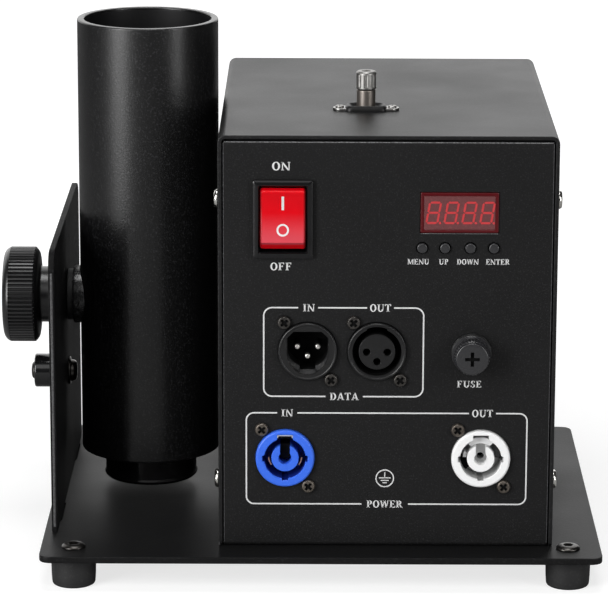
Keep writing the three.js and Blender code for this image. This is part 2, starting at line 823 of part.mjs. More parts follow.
function button() {
  const collarFront = chassisWall + seatGap;
  const collarBack = collarFront + buttonCollarThickness;
  const stemEnd = boardFront - switchBlockDepth - buttonTravel - seatGap / 2 - panelFace;
  return solidFrom(toFront(turned([
    [0, -stemEnd],
    [buttonStemRadius, -stemEnd],
    [buttonStemRadius, -collarBack],
    [buttonCollarRadius, -collarBack],
    [buttonCollarRadius, -collarFront],
    [buttonRadius, -collarFront],
    [buttonRadius, buttonProud - seatGap],
    [buttonRadius - seatGap, buttonProud],
    [0, buttonProud],
  ], smallSides)));
}

add(launcher, 'display_window', displayWindow(), windowRed, displayX, panelFace, displayZ);
add(launcher, 'control_board', controlBoard(), boardGreen, 0, 0, 0);
buttonStarts.forEach((x, i) =>
  add(launcher, buttonNames[i], button(), blackPlastic, x, panelFace, buttonZ));

// Round sockets share one outer form, made along its own +y with the panel face at y = 0.
function socketBlank(bodyDepth) {
  const ring = solidFrom(turned([
    [0, -chassisWall - socketPlateThickness / 2],
    [socketRingRadius, -chassisWall - socketPlateThickness / 2],
    [socketRingRadius, socketRingProud - socketRingEdge],
    [socketRingRadius - socketRingEdge, socketRingProud],
    [0, socketRingProud],
  ], ringSides));
  const body = solidFrom(rod(socketBodyRadius, -bodyDepth, -chassisWall, roundSides));
  const outline = roundedPlate(0, 0, socketPlateWidth, socketPlateHeight, socketPlateCorner);
  for (const [x, z] of socketScrewPlaces(0, 0)) roundHole(outline, x, z, socketScrewShankRadius + seatGap);
  const plate = thicken(outline, socketPlateThickness).rotateX(-Math.PI / 2);
  return join(ring, body, solidFrom(plate.translate(0, -chassisWall - socketPlateThickness, 0)));
}

function keyBox(width, inner, outer, low, high, turn) {
  const key = new THREE.BoxGeometry(outer - inner, high - low, width);
  return solidFrom(key.translate((inner + outer) / 2, (low + high) / 2, 0).rotateY(turn));
}

// Turned to the front, the piece's own +z points down, so a key at the top lies at -z.
const keyTop = Math.PI / 2;
const keyBottom = -Math.PI / 2;

function insertBore(radius) {
  const back = -(insertDepth + insertThickness + seatGap);
  const wide = solidFrom(rod(radius, back, socketRingProud + cutOverrun, ringSides));
  const narrow = solidFrom(rod(radius - insertShoulder, -socketBodyDepth - cutOverrun,
    back + cutOverrun, roundSides));
  return join(wide, narrow);
}

function dataInShell() {
  const front = socketRingProud + cutOverrun;
  const flat = solidFrom(new THREE.BoxGeometry(2 * plugBoreRadius, insertDepth + front, plugBoreRadius)
    .translate(0, (front - insertDepth) / 2, -plugBoreFlat - plugBoreRadius / 2));
  const key = keyBox(plugKeyWidth, plugBoreRadius / 2, plugBoreRadius + plugKeyDepth,
    -insertDepth, front, keyBottom);
  const opening = join(cut(insertBore(plugBoreRadius), flat), key);
  return cut(socketBlank(socketBodyDepth), opening);
}

const pinPlaces = [[-pinSpread, -pinDrop / 2], [pinSpread, -pinDrop / 2], [0, pinDrop * 3 / 2]];

function dataInInsert() {
  const disc = solidFrom(rod(plugBoreRadius - seatGap, -insertDepth - insertThickness,
    -insertDepth, roundSides));
  const pins = pinPlaces.map(([x, z]) => solidFrom(turned([
    [0, -insertDepth - insertThickness / 2],
    [pinRadius, -insertDepth - insertThickness / 2],
    [pinRadius, -insertDepth + pinLength - pinRadius / 2],
    [pinRadius / 2, -insertDepth + pinLength],
    [0, -insertDepth + pinLength],
  ], smallSides).translate(x, 0, z)));
  return join(disc, ...pins);
}

function dataOutShell() {
  const front = socketRingProud + cutOverrun;
  const latch = keyBox(jackLatchWidth, jackBoreRadius - jackLatchReach, jackBoreRadius + jackLatchReach,
    socketRingProud - jackLatchDepth, front, keyTop);
  return cut(socketBlank(socketBodyDepth), insertBore(jackBoreRadius), latch);
}

function dataOutInsert() {
  const disc = solidFrom(rod(jackBoreRadius - seatGap, -insertDepth - insertThickness,
    -insertDepth, roundSides));
  const face = solidFrom(rod(jackFaceRadius, -insertDepth - insertThickness / 2,
    socketRingProud - jackFaceSetback, roundSides));
  const holeFloor = socketRingProud - jackFaceSetback - jackHoleDepth;
  const holes = pinPlaces.map(([x, z]) => solidFrom(
    rod(jackHoleRadius, holeFloor, socketRingProud + cutOverrun, smallSides)
      .translate(x, 0, z + jackHoleDrop)));
  return cut(join(disc, face), ...holes);
}

// Power sockets: a keyed ring channel round a slotted post, one of them turned the other way.
function powerSocket(slotTurn) {
  const front = socketRingProud + cutOverrun;
  const reach = powerBoreRadius + powerKeyReach;
  const bore = join(
    solidFrom(rod(powerBoreRadius, -powerBoreDepth, front, ringSides)),
    keyBox(powerTopKeyWidth, 0, reach, -powerBoreDepth, front, keyTop),
    keyBox(powerSideKeyWidth, 0, reach - powerKeyReach / 2, -powerBoreDepth, front, keyBottom),
    keyBox(powerSideKeyWidth, -reach + powerKeyReach / 2, reach - powerKeyReach / 2,
      -powerBoreDepth, front, 0));
  const post = solidFrom(rod(powerPostRadius, -powerBoreDepth - cutOverrun,
    socketRingProud - powerPostSetback, roundSides));
  const slotFloor = socketRingProud - powerSlotDepth;
  const slot = keyBox(powerSlotWidth, 0, powerPostRadius + cutOverrun, slotFloor, front, slotTurn);
  const hole = solidFrom(rod(powerHoleRadius, socketRingProud - powerHoleDepth, front, smallSides));
  return join(cut(socketBlank(socketBodyDepth), bore), cut(post, slot, hole));
}

add(launcher, 'data_in_shell', dataInShell(), blackPlastic, dataInX, panelFace, dataZ).rotation.x = Math.PI;
add(launcher, 'data_in_insert', dataInInsert(), brightSteel, dataInX, panelFace, dataZ)
  .rotation.x = Math.PI;
add(launcher, 'data_out_shell', dataOutShell(), blackPlastic, dataOutX, panelFace, dataZ)
  .rotation.x = Math.PI;
add(launcher, 'data_out_insert', dataOutInsert(), blackPlastic, dataOutX, panelFace, dataZ)
  .rotation.x = Math.PI;
add(launcher, 'power_in_socket', powerSocket(keyTop), bluePlastic, powerInX, panelFace, powerZ)
  .rotation.x = Math.PI;
add(launcher, 'power_out_socket', powerSocket(keyTop), whitePlastic, powerOutX, panelFace, powerZ)
  .rotation.x = Math.PI;

const socketScrew = domedScrew(socketScrewHeadRadius, socketScrewHeadHeight,
  socketScrewShankRadius, socketScrewShankLength);
socketPlaces.forEach(([x, z], i) => {
  const label = ['data_in', 'data_out', 'power_in', 'power_out'][i];
  socketScrewPlaces(x, z).forEach(([sx, sz], k) => {
    add(launcher, `${label}_screw_${k + 1}`, socketScrew, darkSteel, sx, panelFace, sz)
      .rotation.x = Math.PI;
  });
});

// Fuse holder, the ringed and ribbed cap that carries the fuse, and the fuse.
const fuseBoreRadius = fuseBodyRadius - fuseBodyWall;
const fuseCapBack = fuseFlangeThickness + seatGap;
const carrierRadius = fuseBoreRadius - seatGap;
const carrierEnd = fuseCapBack - fuseCarrierLength;
const fuseTop = carrierEnd + fuseCarrierSocket - seatGap;

function fuseHolder() {
  const body = solidFrom(turned([
    [0, -fuseBodyDepth],
    [fuseBodyRadius, -fuseBodyDepth],
    [fuseBodyRadius, 0],
    [fuseFlangeRadius, 0],
    [fuseFlangeRadius, fuseFlangeThickness],
    [fuseBoreRadius, fuseFlangeThickness],
    [fuseBoreRadius, -fuseBodyDepth + fuseFloor],
    [0, -fuseBodyDepth + fuseFloor],
  ], roundSides));
  const nut = solidFrom(rod(fuseNutRadius, -chassisWall - fuseNutThickness, -chassisWall, 6));
  const nutBore = solidFrom(rod(fuseBodyRadius - fuseBodyWall / 2, -fuseBodyDepth, 0, roundSides));
  return join(body, cut(nut, nutBore));
}

function fuseCap() {
  const ringTop = fuseCapBack + fuseRingLength;
  const gripTop = ringTop + fuseGripLength;
  const core = fuseGripRadius - 2 * fuseRibDepth;
  const ribs = thicken(ribbedOutline(fuseGripRadius, fuseRibDepth, fuseRibCount), fuseGripLength);
  const grip = solidFrom(ribs.rotateX(-Math.PI / 2).translate(0, ringTop, 0));
  const nose = solidFrom(turned([
    [0, carrierEnd],
    [carrierRadius, carrierEnd],
    [carrierRadius, fuseCapBack],
    [fuseRingRadius, fuseCapBack],
    [fuseRingRadius, ringTop - fuseFaceEdge],
    [fuseRingRadius - fuseFaceEdge, ringTop],
    [core, ringTop],
    [core, gripTop],
    [fuseFaceRadius, gripTop + fuseNeckLength],
    [fuseFaceRadius, fuseCapHeight - fuseFaceEdge],
    [fuseFaceRadius - fuseFaceEdge, fuseCapHeight],
    [0, fuseCapHeight],
  ], roundSides));
  const slotMiddle = fuseCapHeight - fuseSlotDepth / 2 + cutOverrun / 2;
  const slotHeight = fuseSlotDepth + cutOverrun;
  const slot = solidFrom(new THREE.BoxGeometry(fuseSlotLength, slotHeight, fuseSlotWidth)
    .translate(0, slotMiddle, 0));
  const crossing = solidFrom(new THREE.BoxGeometry(fuseSlotWidth, slotHeight, fuseSlotLength)
    .translate(0, slotMiddle, 0));
  const socket = solidFrom(rod(fuseRadius + seatGap, carrierEnd - cutOverrun,
    carrierEnd + fuseCarrierSocket, smallSides));
  return cut(join(grip, nose), slot, crossing, socket);
}

function fuse() {
  const low = fuseTop - fuseLength;
  const glass = fuseRadius - fuseGlassInset;
  return solidFrom(turned([
    [0, low],
    [fuseRadius, low],
    [fuseRadius, low + fuseEndLength],
    [glass, low + fuseEndLength],
    [glass, fuseTop - fuseEndLength],
    [fuseRadius, fuseTop - fuseEndLength],
    [fuseRadius, fuseTop],
    [0, fuseTop],
  ], smallSides));
}

add(launcher, 'fuse_holder', fuseHolder(), blackPlastic, fuseX, panelFace, fuseZ).rotation.x = Math.PI;
add(launcher, 'fuse_cap', fuseCap(), blackPlastic, fuseX, panelFace, fuseZ).rotation.x = Math.PI;
add(launcher, 'fuse', fuse(), clearGlass, fuseX, panelFace, fuseZ).rotation.x = Math.PI;

// Aerial post on the box top: eared flange, moulded collar, smooth post and fluted screw cap.
function stadium(length, width) {
  const shape = new THREE.Shape();
  shape.absarc((length - width) / 2, 0, width / 2, -Math.PI / 2, Math.PI / 2, false);
  shape.absarc((width - length) / 2, 0, width / 2, Math.PI / 2, Math.PI * 3 / 2, false);
  return shape;
}

function aerialFlange() {
  const outline = stadium(earSpan, earWidth);
  roundHole(outline, 0, 0, postSpigotRadius + seatGap);
  const strip = solidFrom(thicken(outline, earThickness));
  const screws = [-1, 1].map((side) => solidFrom(toTop(rod(earScrewRadius, earThickness / 2,
    earThickness + earScrewHeight, smallSides)).translate(side * (earSpan / 2 - earScrewInset), 0, 0)));
  return join(strip, ...screws);
}

function aerialCollar() {
  const foot = roundedPlate(0, 0, collarLength, collarWidth, collarCornerRadius);
  const crown = roundedPlate(0, 0, collarLength - 2 * collarTopInset, collarWidth - 2 * collarTopInset,
    collarCornerRadius - collarTopInset);
  const low = thicken(foot, earThickness + collarHeight / 2).translate(0, 0, -earThickness);
  const high = thicken(crown, collarHeight);
  const ears = thicken(stadium(earSpan, earWidth + 2 * seatGap), earThickness + cutOverrun)
    .translate(0, 0, -earThickness - cutOverrun);
  const bore = toTop(rod(postRadius + seatGap, -cutOverrun, collarHeight + cutOverrun, smallSides));
  return cut(join(solidFrom(low), solidFrom(high)), solidFrom(ears), solidFrom(bore));
}

function aerialPost() {
  const tail = -(earThickness + coverWall + postTailLength);
  return solidFrom(toTop(turned([
    [0, tail],
    [postSpigotRadius, tail],
    [postSpigotRadius, 0],
    [postRadius, 0],
    [postRadius, postRise],
    [postSpigotRadius, postRise],
    [postSpigotRadius, postRise + postSpigotLength],
    [0, postRise + postSpigotLength],
  ], roundSides)));
}

function aerialCap() {
  const body = solidFrom(turned([
    [0, 0],
    [aerialCapRadius, 0],
    [aerialCapRadius, aerialCapHeight - aerialCapEdge],
    [aerialCapRadius - aerialCapEdge, aerialCapHeight],
    [0, aerialCapHeight],
  ], roundSides));
  const tools = [];
  for (let i = 0; i < aerialFluteCount; i += 1) {
    const turn = i * Math.PI * 2 / aerialFluteCount;
    const reach = aerialCapRadius + aerialFluteRadius - aerialFluteBite;
    const flute = rod(aerialFluteRadius, aerialCapEdge, aerialCapHeight - 2 * aerialCapEdge, smallSides);
    tools.push(solidFrom(flute.translate(reach, 0, 0).rotateY(turn)));
  }
  const dimpleFloor = aerialCapHeight - aerialDimpleDepth;
  tools.push(solidFrom(rod(aerialDimpleRadius, dimpleFloor, aerialCapHeight + cutOverrun, 6)));
  tools.push(solidFrom(rod(postSpigotRadius + seatGap, -cutOverrun, postSpigotLength, smallSides)));
  return cut(body, ...tools);
}

const flangeTop = boxHeight + earThickness;
add(launcher, 'aerial_flange', aerialFlange(), brightSteel, aerialX, aerialY, boxHeight);
add(launcher, 'aerial_collar', aerialCollar(), blackRubber, aerialX, aerialY, flangeTop);
add(launcher, 'aerial_post', aerialPost(), darkSteel, aerialX, aerialY, flangeTop);
add(launcher, 'aerial_cap', aerialCap(), brightSteel, aerialX, aerialY, flangeTop + postRise + seatGap)
  .rotation.x = Math.PI / 2;

// Power supply case on short feet on the chassis floor.
function powerSupply() {
  const outline = roundedRectangle(0, 0, supplyLength, supplyWidth, supplyEdge);
  const body = solidFrom(thicken(outline, supplyHeight).translate(0, 0, supplyFootGap));
  const feet = [];
  for (const x of [2 * supplyFootRadius, supplyLength - 2 * supplyFootRadius]) {
    for (const y of [2 * supplyFootRadius, supplyWidth - 2 * supplyFootRadius]) {
      const post = rod(supplyFootRadius, 0, supplyFootGap + supplyEdge, smallSides);
      feet.push(solidFrom(toTop(post).translate(x, y, 0)));
    }
  }
  const middle = supplyLength / 2;
  const terminalTop = supplyFootGap + supplyTerminalHeight;
  const recess = solidFrom(block(middle - supplyTerminalWidth / 2, middle + supplyTerminalWidth / 2,
    -cutOverrun, supplyTerminalDepth, terminalTop, supplyFootGap + supplyHeight + cutOverrun));
  return join(cut(body, recess), ...feet);
}

add(launcher, 'power_supply', powerSupply(), caseAluminium, (boxWidth - supplyLength) / 2,
  chassisRear - chassisWall - supplyBackGap - supplyWidth, chassisWall);

// Barrel group, hung on the pivot: tube, neck, firing contact, saddle, bolt, and the knob on the bolt.
const barrel = new THREE.Group();
barrel.position.set(barrelX, pivotY, pivotHeight);
launcher.add(barrel);

const barrelTop = barrelLength - barrelBelowPivot;
const barrelBoreRadius = barrelRadius - barrelWall;

function barrelTube() {
  return solidFrom(toTop(turned([
    [barrelBoreRadius, -barrelBelowPivot],
    [barrelRadius - barrelRimEdge, -barrelBelowPivot],
    [barrelRadius, -barrelBelowPivot + barrelRimEdge],
    [barrelRadius, barrelTop - barrelRimEdge],
    [barrelRadius - barrelRimEdge, barrelTop],
    [barrelBoreRadius + barrelRimEdge, barrelTop],
    [barrelBoreRadius, barrelTop - barrelRimEdge],
    [barrelBoreRadius, -barrelBelowPivot],
  ], fineSides)));
}

const plugTop = -barrelBelowPivot + neckPlugLength;
const neckBottom = -barrelBelowPivot - neckDrop;

function barrelNeck() {
  const plugRadius = barrelBoreRadius - seatGap;
  const hollow = neckRadius - neckWall;
  return solidFrom(toTop(turned([
    [hollow, neckBottom],
    [neckRadius - neckLipInset, neckBottom],
    [neckRadius, neckBottom + neckLipHeight],
    [neckRadius, -barrelBelowPivot],
    [plugRadius, -barrelBelowPivot],
    [plugRadius, plugTop],
    [contactTailRadius + seatGap, plugTop],
    [contactTailRadius + seatGap, plugTop - neckWall],
    [hollow, plugTop - neckWall],
    [hollow, neckBottom],
  ], ringSides)));
}

// Spring contact in the middle of the plug, which the cartridge's foot meets.
function firingContact() {
  return solidFrom(toTop(turned([
    [0, plugTop - neckWall - contactFlangeThickness],
    [contactTailRadius, plugTop - neckWall - contactFlangeThickness],
    [contactTailRadius, plugTop],
    [contactFlangeRadius, plugTop],
    [contactFlangeRadius, plugTop + contactFlangeThickness],
    [contactRadius, plugTop + contactFlangeThickness],
    [contactRadius, plugTop + contactRise],
    [0, plugTop + contactRise + contactRadius / 2],
  ], smallSides)));
}

// Saddle: a round spacer whose inner end is hollowed to sit on the tube.
const saddleOuterX = -(barrelRadius + barrelBracketGap - washerThickness);

function saddle() {
  const start = -saddleOuterX;
  const body = solidFrom(toLeft(turned([
    [0, 0],
    [saddleRadius, 0],
    [saddleRadius, start - saddleEdge],
    [saddleRadius - saddleEdge, start],
    [0, start],
  ], roundSides)));
  const tube = solidFrom(
    toTop(rod(barrelRadius + seatGap, -2 * saddleRadius, 2 * saddleRadius, fineSides)));
  const bore = solidFrom(toLeft(rod(boltRadius + seatGap, 0, start + cutOverrun, smallSides)));
  return cut(body, tube, bore);
}

function frictionWasher() {
  return solidFrom(toLeft(turned([
    [boltRadius + seatGap, 0],
    [washerRadius, 0],
    [washerRadius, washerThickness - seatGap],
    [boltRadius + seatGap, washerThickness - seatGap],
    [boltRadius + seatGap, 0],
  ], roundSides)));
}

const boltEndX = knobHubEndX - knobBoreDepth + knobHubLength - barrelX + seatGap;
const boltStartX = -(barrelRadius + barrelBracketGap) + boltSaddleDepth;

function pivotBolt() {
  return solidFrom(toLeft(rod(boltRadius, -boltStartX, -boltEndX, roundSides)));
}

// Knob along its own +y from the bracket outward: hub, back lip, ribbed grip and dished face.
function knob() {
  const lipStart = knobHubLength;
  const gripStart = lipStart + knobLipLength;
  const gripEnd = gripStart + knobGripLength;
  const faceEnd = gripEnd + knobFaceLength;
  const core = knobGripRadius - 2 * knobRibDepth;
  const body = solidFrom(turned([
    [0, 0],
    [knobHubRadius, 0],
    [knobHubRadius, lipStart],
    [knobLipRadius - knobRibDepth, lipStart],
    [knobLipRadius, lipStart + knobLipLength / 2],
    [knobLipRadius, gripStart],
    [core, gripStart],
    [core, gripEnd],
    [(core + knobFaceRadius) / 2 + knobRibDepth, gripEnd + knobFaceLength / 2],
    [knobFaceRadius, faceEnd],
    [knobFaceDishRadius, faceEnd],
    [knobFaceDishRadius - knobFaceDish, faceEnd - knobFaceDish],
    [0, faceEnd - knobFaceDish],
  ], ringSides));
  const ribs = thicken(ribbedOutline(knobGripRadius, knobRibDepth, knobRibCount), knobGripLength);
  const grip = solidFrom(ribs.rotateX(-Math.PI / 2).translate(0, gripStart, 0));
  const bore = solidFrom(rod(boltRadius + seatGap, -cutOverrun, knobBoreDepth, smallSides));
  return cut(join(body, grip), bore);
}

add(barrel, 'barrel_tube', barrelTube(), barrelPaint, 0, 0, 0);
add(barrel, 'barrel_neck', barrelNeck(), blackPlastic, 0, 0, 0);
add(barrel, 'firing_contact', firingContact(), brass, 0, 0, 0);
add(barrel, 'saddle_spacer', saddle(), blackSteel, 0, 0, 0);
add(barrel, 'friction_washer', frictionWasher(), blackRubber, saddleOuterX, 0, 0);
add(barrel, 'pivot_bolt', pivotBolt(), darkSteel, 0, 0, 0);
add(barrel, 'clamp_knob', knob(), blackPlastic, bracketOuterX - seatGap - barrelX, 0, 0)
  .rotation.z = Math.PI / 2;

export default launcher;
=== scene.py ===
# The looks of a stage confetti launcher: a tilting barrel beside a sheet-metal control box on one base plate.
# Sizes are millimetres in the maker's layout: x right from the box's left wall, y back from the cover's
# front edge, z up from the base plate. The function "place" turns them into the frame's metres.
from math import asin, cos, hypot, pi, radians, sin, sqrt

import bmesh
import bpy
from mathutils import Matrix, Vector
from mathutils.geometry import tessellate_polygon


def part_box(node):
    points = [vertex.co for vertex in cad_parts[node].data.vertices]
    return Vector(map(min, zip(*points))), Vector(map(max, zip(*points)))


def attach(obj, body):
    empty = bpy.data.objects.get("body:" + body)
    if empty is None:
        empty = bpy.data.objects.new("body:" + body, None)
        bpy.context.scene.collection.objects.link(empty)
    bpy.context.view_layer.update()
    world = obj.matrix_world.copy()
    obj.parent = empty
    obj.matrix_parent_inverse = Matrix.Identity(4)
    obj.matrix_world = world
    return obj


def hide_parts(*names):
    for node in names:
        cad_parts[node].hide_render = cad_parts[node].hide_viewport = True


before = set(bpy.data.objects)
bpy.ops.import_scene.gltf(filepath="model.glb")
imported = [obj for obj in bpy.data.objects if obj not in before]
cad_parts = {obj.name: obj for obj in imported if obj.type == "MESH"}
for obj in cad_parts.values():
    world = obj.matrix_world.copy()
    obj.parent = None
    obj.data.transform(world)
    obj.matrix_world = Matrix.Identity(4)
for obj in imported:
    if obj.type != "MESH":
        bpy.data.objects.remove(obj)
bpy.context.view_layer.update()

# Camera. It stands in front of the panel, a little above the box, and looks down on it through a long lens.
mm = 0.001
layout_home = Vector((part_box("cover")[0].x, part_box("cover")[0].y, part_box("base_plate")[1].z))
camera_turn, camera_dip, camera_roll = -0.0052, 0.2394, 0.0051


def place(x, y, z):
    return layout_home + Vector((x, y, z)) * mm


def show(name, data):
    item = bpy.data.objects.new(name, data)
    bpy.context.scene.collection.objects.link(item)
    return item


camera_data = bpy.data.cameras.new("camera")
camera_data.sensor_width = 36
camera_data.lens = 201.3
camera_data.shift_x = -0.0558
camera_data.shift_y = -0.05
camera_data.clip_end = 20
camera = show("camera", camera_data)
camera.matrix_world = (
    Matrix.Translation(place(41.5, -1330.6, 440.2))
    @ Matrix.Rotation(camera_turn, 4, "Z")
    @ Matrix.Rotation(pi / 2 - camera_dip, 4, "X")
    @ Matrix.Rotation(camera_roll, 4, "Z")
)
bpy.context.scene.camera = camera

# Base plate. One flat sheet of steel under everything, with rounded corners, drilled for its feet and
# slotted for the bracket's tabs. Its edges are broken and the whole is powder coated in fine-grained black.
plate_left, plate_right, plate_front, plate_back, plate_thickness = -73, 157, -15, 177, 2.8
plate_corner, plate_edge, foot_inset, foot_hole = 5.5, 0.45, 13.5, 2.7
foot_rows = (plate_front + foot_inset, plate_back - foot_inset)
foot_places = [(x, y) for y in foot_rows for x in (plate_left + foot_inset, plate_right - foot_inset)]
tab_starts, tab_length, tab_play, slot_left, slot_right = (34, 122), 24, 0.3, -70.2, -67.1

# Directions that a piece made along its own z can face
facing = {
    "up": ((1, 0, 0), (0, 1, 0), (0, 0, 1)),
    "front": ((1, 0, 0), (0, 0, -1), (0, 1, 0)),
    "left": ((0, 0, -1), (-1, 0, 0), (0, 1, 0)),
    "right": ((0, 0, 1), (1, 0, 0), (0, 1, 0)),
}


def seat(x, y, z, way="up"):
    return Matrix.Translation(place(x, y, z)) @ Matrix(facing[way]).to_4x4() @ Matrix.Scale(mm, 4)


def eased(corners, reach, closed=True, steps=3):
    """Rounds each corner of a line, starting the given reach before it."""
    found, count = [], len(corners)
    for i, corner in enumerate(corners):
        here = Vector(corner)
        if not closed and i in (0, count - 1):
            found.append(here)
            continue
        sides = [Vector(corners[i - 1]) - here, Vector(corners[(i + 1) % count]) - here]
        start, end = [here + side.normalized() * min(reach, side.length * 0.48) for side in sides]
        for k in range(steps + 1):
            t = k / steps
            found.append(start * (1 - t) ** 2 + here * (2 * t * (1 - t)) + end * t**2)
    return found


def rectangle(left, low, right, high):
    return [(left, low), (right, low), (right, high), (left, high)]


def circle(x, y, radius, count=32):
    turns = [2 * pi * i / count for i in range(count)]
    return [(x + radius * cos(t), y + radius * sin(t)) for t in turns]


def moved_in(loop, amount):
    """Moves each side of a loop towards its left, which is inward where the loop runs anticlockwise."""
    found = []
    for i, corner in enumerate(loop):
        here = Vector(corner)
        along = (here - Vector(loop[i - 1])).normalized()
        onward = (Vector(loop[(i + 1) % len(loop)]) - here).normalized()
        side = Vector((-along.y, along.x)) + Vector((-onward.y, onward.x))
        found.append(here + side * amount / max(0.2, 1 + along.dot(onward)))
    return found


def ring_faces(rings, count, start=0, closed=False, capped=False):
    """Four-sided faces between rings of points that follow one another, and caps on the end rings."""
    faces = []
    for k in range(rings if closed else rings - 1):
        low, high = start + k * count, start + (k + 1) % rings * count
        for i in range(count):
            j = (i + 1) % count
            faces.append((low + i, low + j, high + j, high + i))
    if capped:
        faces += [list(range(count)), list(range((rings - 1) * count, rings * count))]
    return faces


def slab(outer, holes, low, high, edge=0.0, steps=2):
    """A sheet of that outline between two heights, with its edges and the holes' edges rounded."""
    turns = [pi / 2 * k / steps for k in range(steps + 1)]
    stations = [(edge * (1 - sin(t)), low + edge * (1 - cos(t))) for t in turns]
    stations += [(inset, low + high - height) for inset, height in reversed(stations)]
    points, faces, caps = [], [], {0: [], len(stations) - 1: []}
    for loop, side in [(outer, 1)] + [(hole, -1) for hole in holes]:
        faces += ring_faces(len(stations), len(loop), len(points))
        for k, (inset, height) in enumerate(stations):
            ring = [Vector((p.x, p.y, height)) for p in moved_in([Vector(p) for p in loop], inset * side)]
            if k in caps:
                caps[k].append((len(points), ring))
            points += ring
    for loops in caps.values():
        numbers = [start + i for start, ring in loops for i in range(len(ring))]
        for triangle in tessellate_polygon([ring for start, ring in loops]):
            faces.append([numbers[i] for i in triangle])
    return points, faces


def together(*shapes):
    points, faces = [], []
    for more_points, more_faces in shapes:
        start = len(points)
        points += more_points
        faces += [[start + i for i in face] for face in more_faces]
    return points, faces


def build(name, shape, where, material, slot=None, *nodes, body="base", crease=38):
    """Makes one piece from a shape in millimetres, set where it belongs, riding on its body. It replaces
    the named CAD nodes."""
    points, faces = shape
    mesh = bpy.data.meshes.new(name)
    mesh.from_pydata([where @ Vector(p) for p in points], [], faces)
    form = bmesh.new()
    form.from_mesh(mesh)
    bmesh.ops.remove_doubles(form, verts=form.verts, dist=1e-6)
    bmesh.ops.dissolve_degenerate(form, edges=form.edges, dist=1e-7)
    bmesh.ops.recalc_face_normals(form, faces=form.faces)
    form.to_mesh(mesh)
    form.free()
    mesh.shade_smooth()
    mesh.set_sharp_from_angle(angle=radians(crease))
    mesh.materials.append(material)
    piece = show(name, mesh)
    flats = piece.modifiers.new("flat faces stay flat", "WEIGHTED_NORMAL")
    flats.keep_sharp = True
    flats.weight = 80
    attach(piece, body)
    if nodes:
        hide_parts(*nodes)
    return piece


def new_group(name, inputs):
    """A shader group that makes a colour, a roughness and a height from inputs with these first values."""
    group = bpy.data.node_groups.new(name, "ShaderNodeTree")
    for label, value in inputs.items():
        kind = "NodeSocketColor" if isinstance(value, tuple) else "NodeSocketFloat"
        socket = group.interface.new_socket(name=label, in_out="INPUT", socket_type=kind)
        socket.default_value = (*value, 1) if isinstance(value, tuple) else value
    for label, kind in (("Colour", "Color"), ("Roughness", "Float"), ("Height", "Float")):
        group.interface.new_socket(name=label, in_out="OUTPUT", socket_type="NodeSocket" + kind)
    return group, group.nodes.new("NodeGroupInput").outputs


def give(group, *results):
    """Sends a colour, a roughness and a height out of a group."""
    for result, socket in zip(results, group.nodes.new("NodeGroupOutput").inputs):
        group.links.new(result, socket)


def feed(tree, socket, value):
    """Gives a socket a number, a colour or what another node makes."""
    if isinstance(value, (int, float)):
        socket.default_value = value
    elif isinstance(value, tuple):
        socket.default_value = (*value, 1)
    else:
        tree.links.new(value, socket)


def calculate(tree, operation, first, second=0):
    node = tree.nodes.new("ShaderNodeMath")
    node.operation = operation
    feed(tree, node.inputs[0], first)
    feed(tree, node.inputs[1], second)
    return node.outputs[0]


def spots(tree, scale, detail, stretch=(1, 1, 1)):
    """Noise over the piece's own places, at that many spots to the metre."""
    where = tree.nodes.new("ShaderNodeTexCoord")
    spread = tree.nodes.new("ShaderNodeVectorMath")
    spread.operation = "MULTIPLY"
    spread.inputs[1].default_value = stretch
    noise = tree.nodes.new("ShaderNodeTexNoise")
    noise.inputs["Detail"].default_value = detail
    tree.links.new(where.outputs["Object"], spread.inputs[0])
    tree.links.new(spread.outputs[0], noise.inputs["Vector"])
    feed(tree, noise.inputs["Scale"], scale)
    return noise.outputs["Fac"]


def between(tree, value, *limits):
    """Turns a value from the low to high range of the first two limits into that of the last two."""
    node = tree.nodes.new("ShaderNodeMapRange")
    for socket, given in zip(node.inputs, (value, *limits)):
        feed(tree, socket, given)
    return node.outputs[0]


def mixed(tree, share, first, second):
    node = tree.nodes.new("ShaderNodeMix")
    node.data_type = "RGBA"
    for number, value in ((0, share), (6, first), (7, second)):
        feed(tree, node.inputs[number], value)
    return node.outputs[2]


# Grain of a sprayed, baked or moulded skin: fine pimples, paler flecks on their tips, and slow clouds of
# more and less gloss over the whole. Sizes of grain are millimetres.
grain_first = {"Colour": (0.02, 0.02, 0.02), "Fleck": (0.2, 0.2, 0.2), "Fleck Share": 0.3, "Grain Size": 0.6}
grain, grain_in = new_group("skin_grain", {**grain_first, "Roughness": 0.5, "Clouds": 0.06})
grain_scale = calculate(grain, "DIVIDE", 1 / mm, grain_in["Grain Size"])
fleck_noise = spots(grain, calculate(grain, "MULTIPLY", grain_scale, 0.83), 1)
fleck_mask = between(grain, fleck_noise, 0.56, 0.72, 0, grain_in["Fleck Share"])
cloud = between(grain, spots(grain, 16, 3), 0.35, 0.65, -1, 1)
cloud_lift = calculate(grain, "MULTIPLY", cloud, grain_in["Clouds"])
give(
    grain,
    mixed(grain, fleck_mask, grain_in["Colour"], grain_in["Fleck"]),
    calculate(grain, "ADD", grain_in["Roughness"], cloud_lift),
    spots(grain, grain_scale, 2),
)


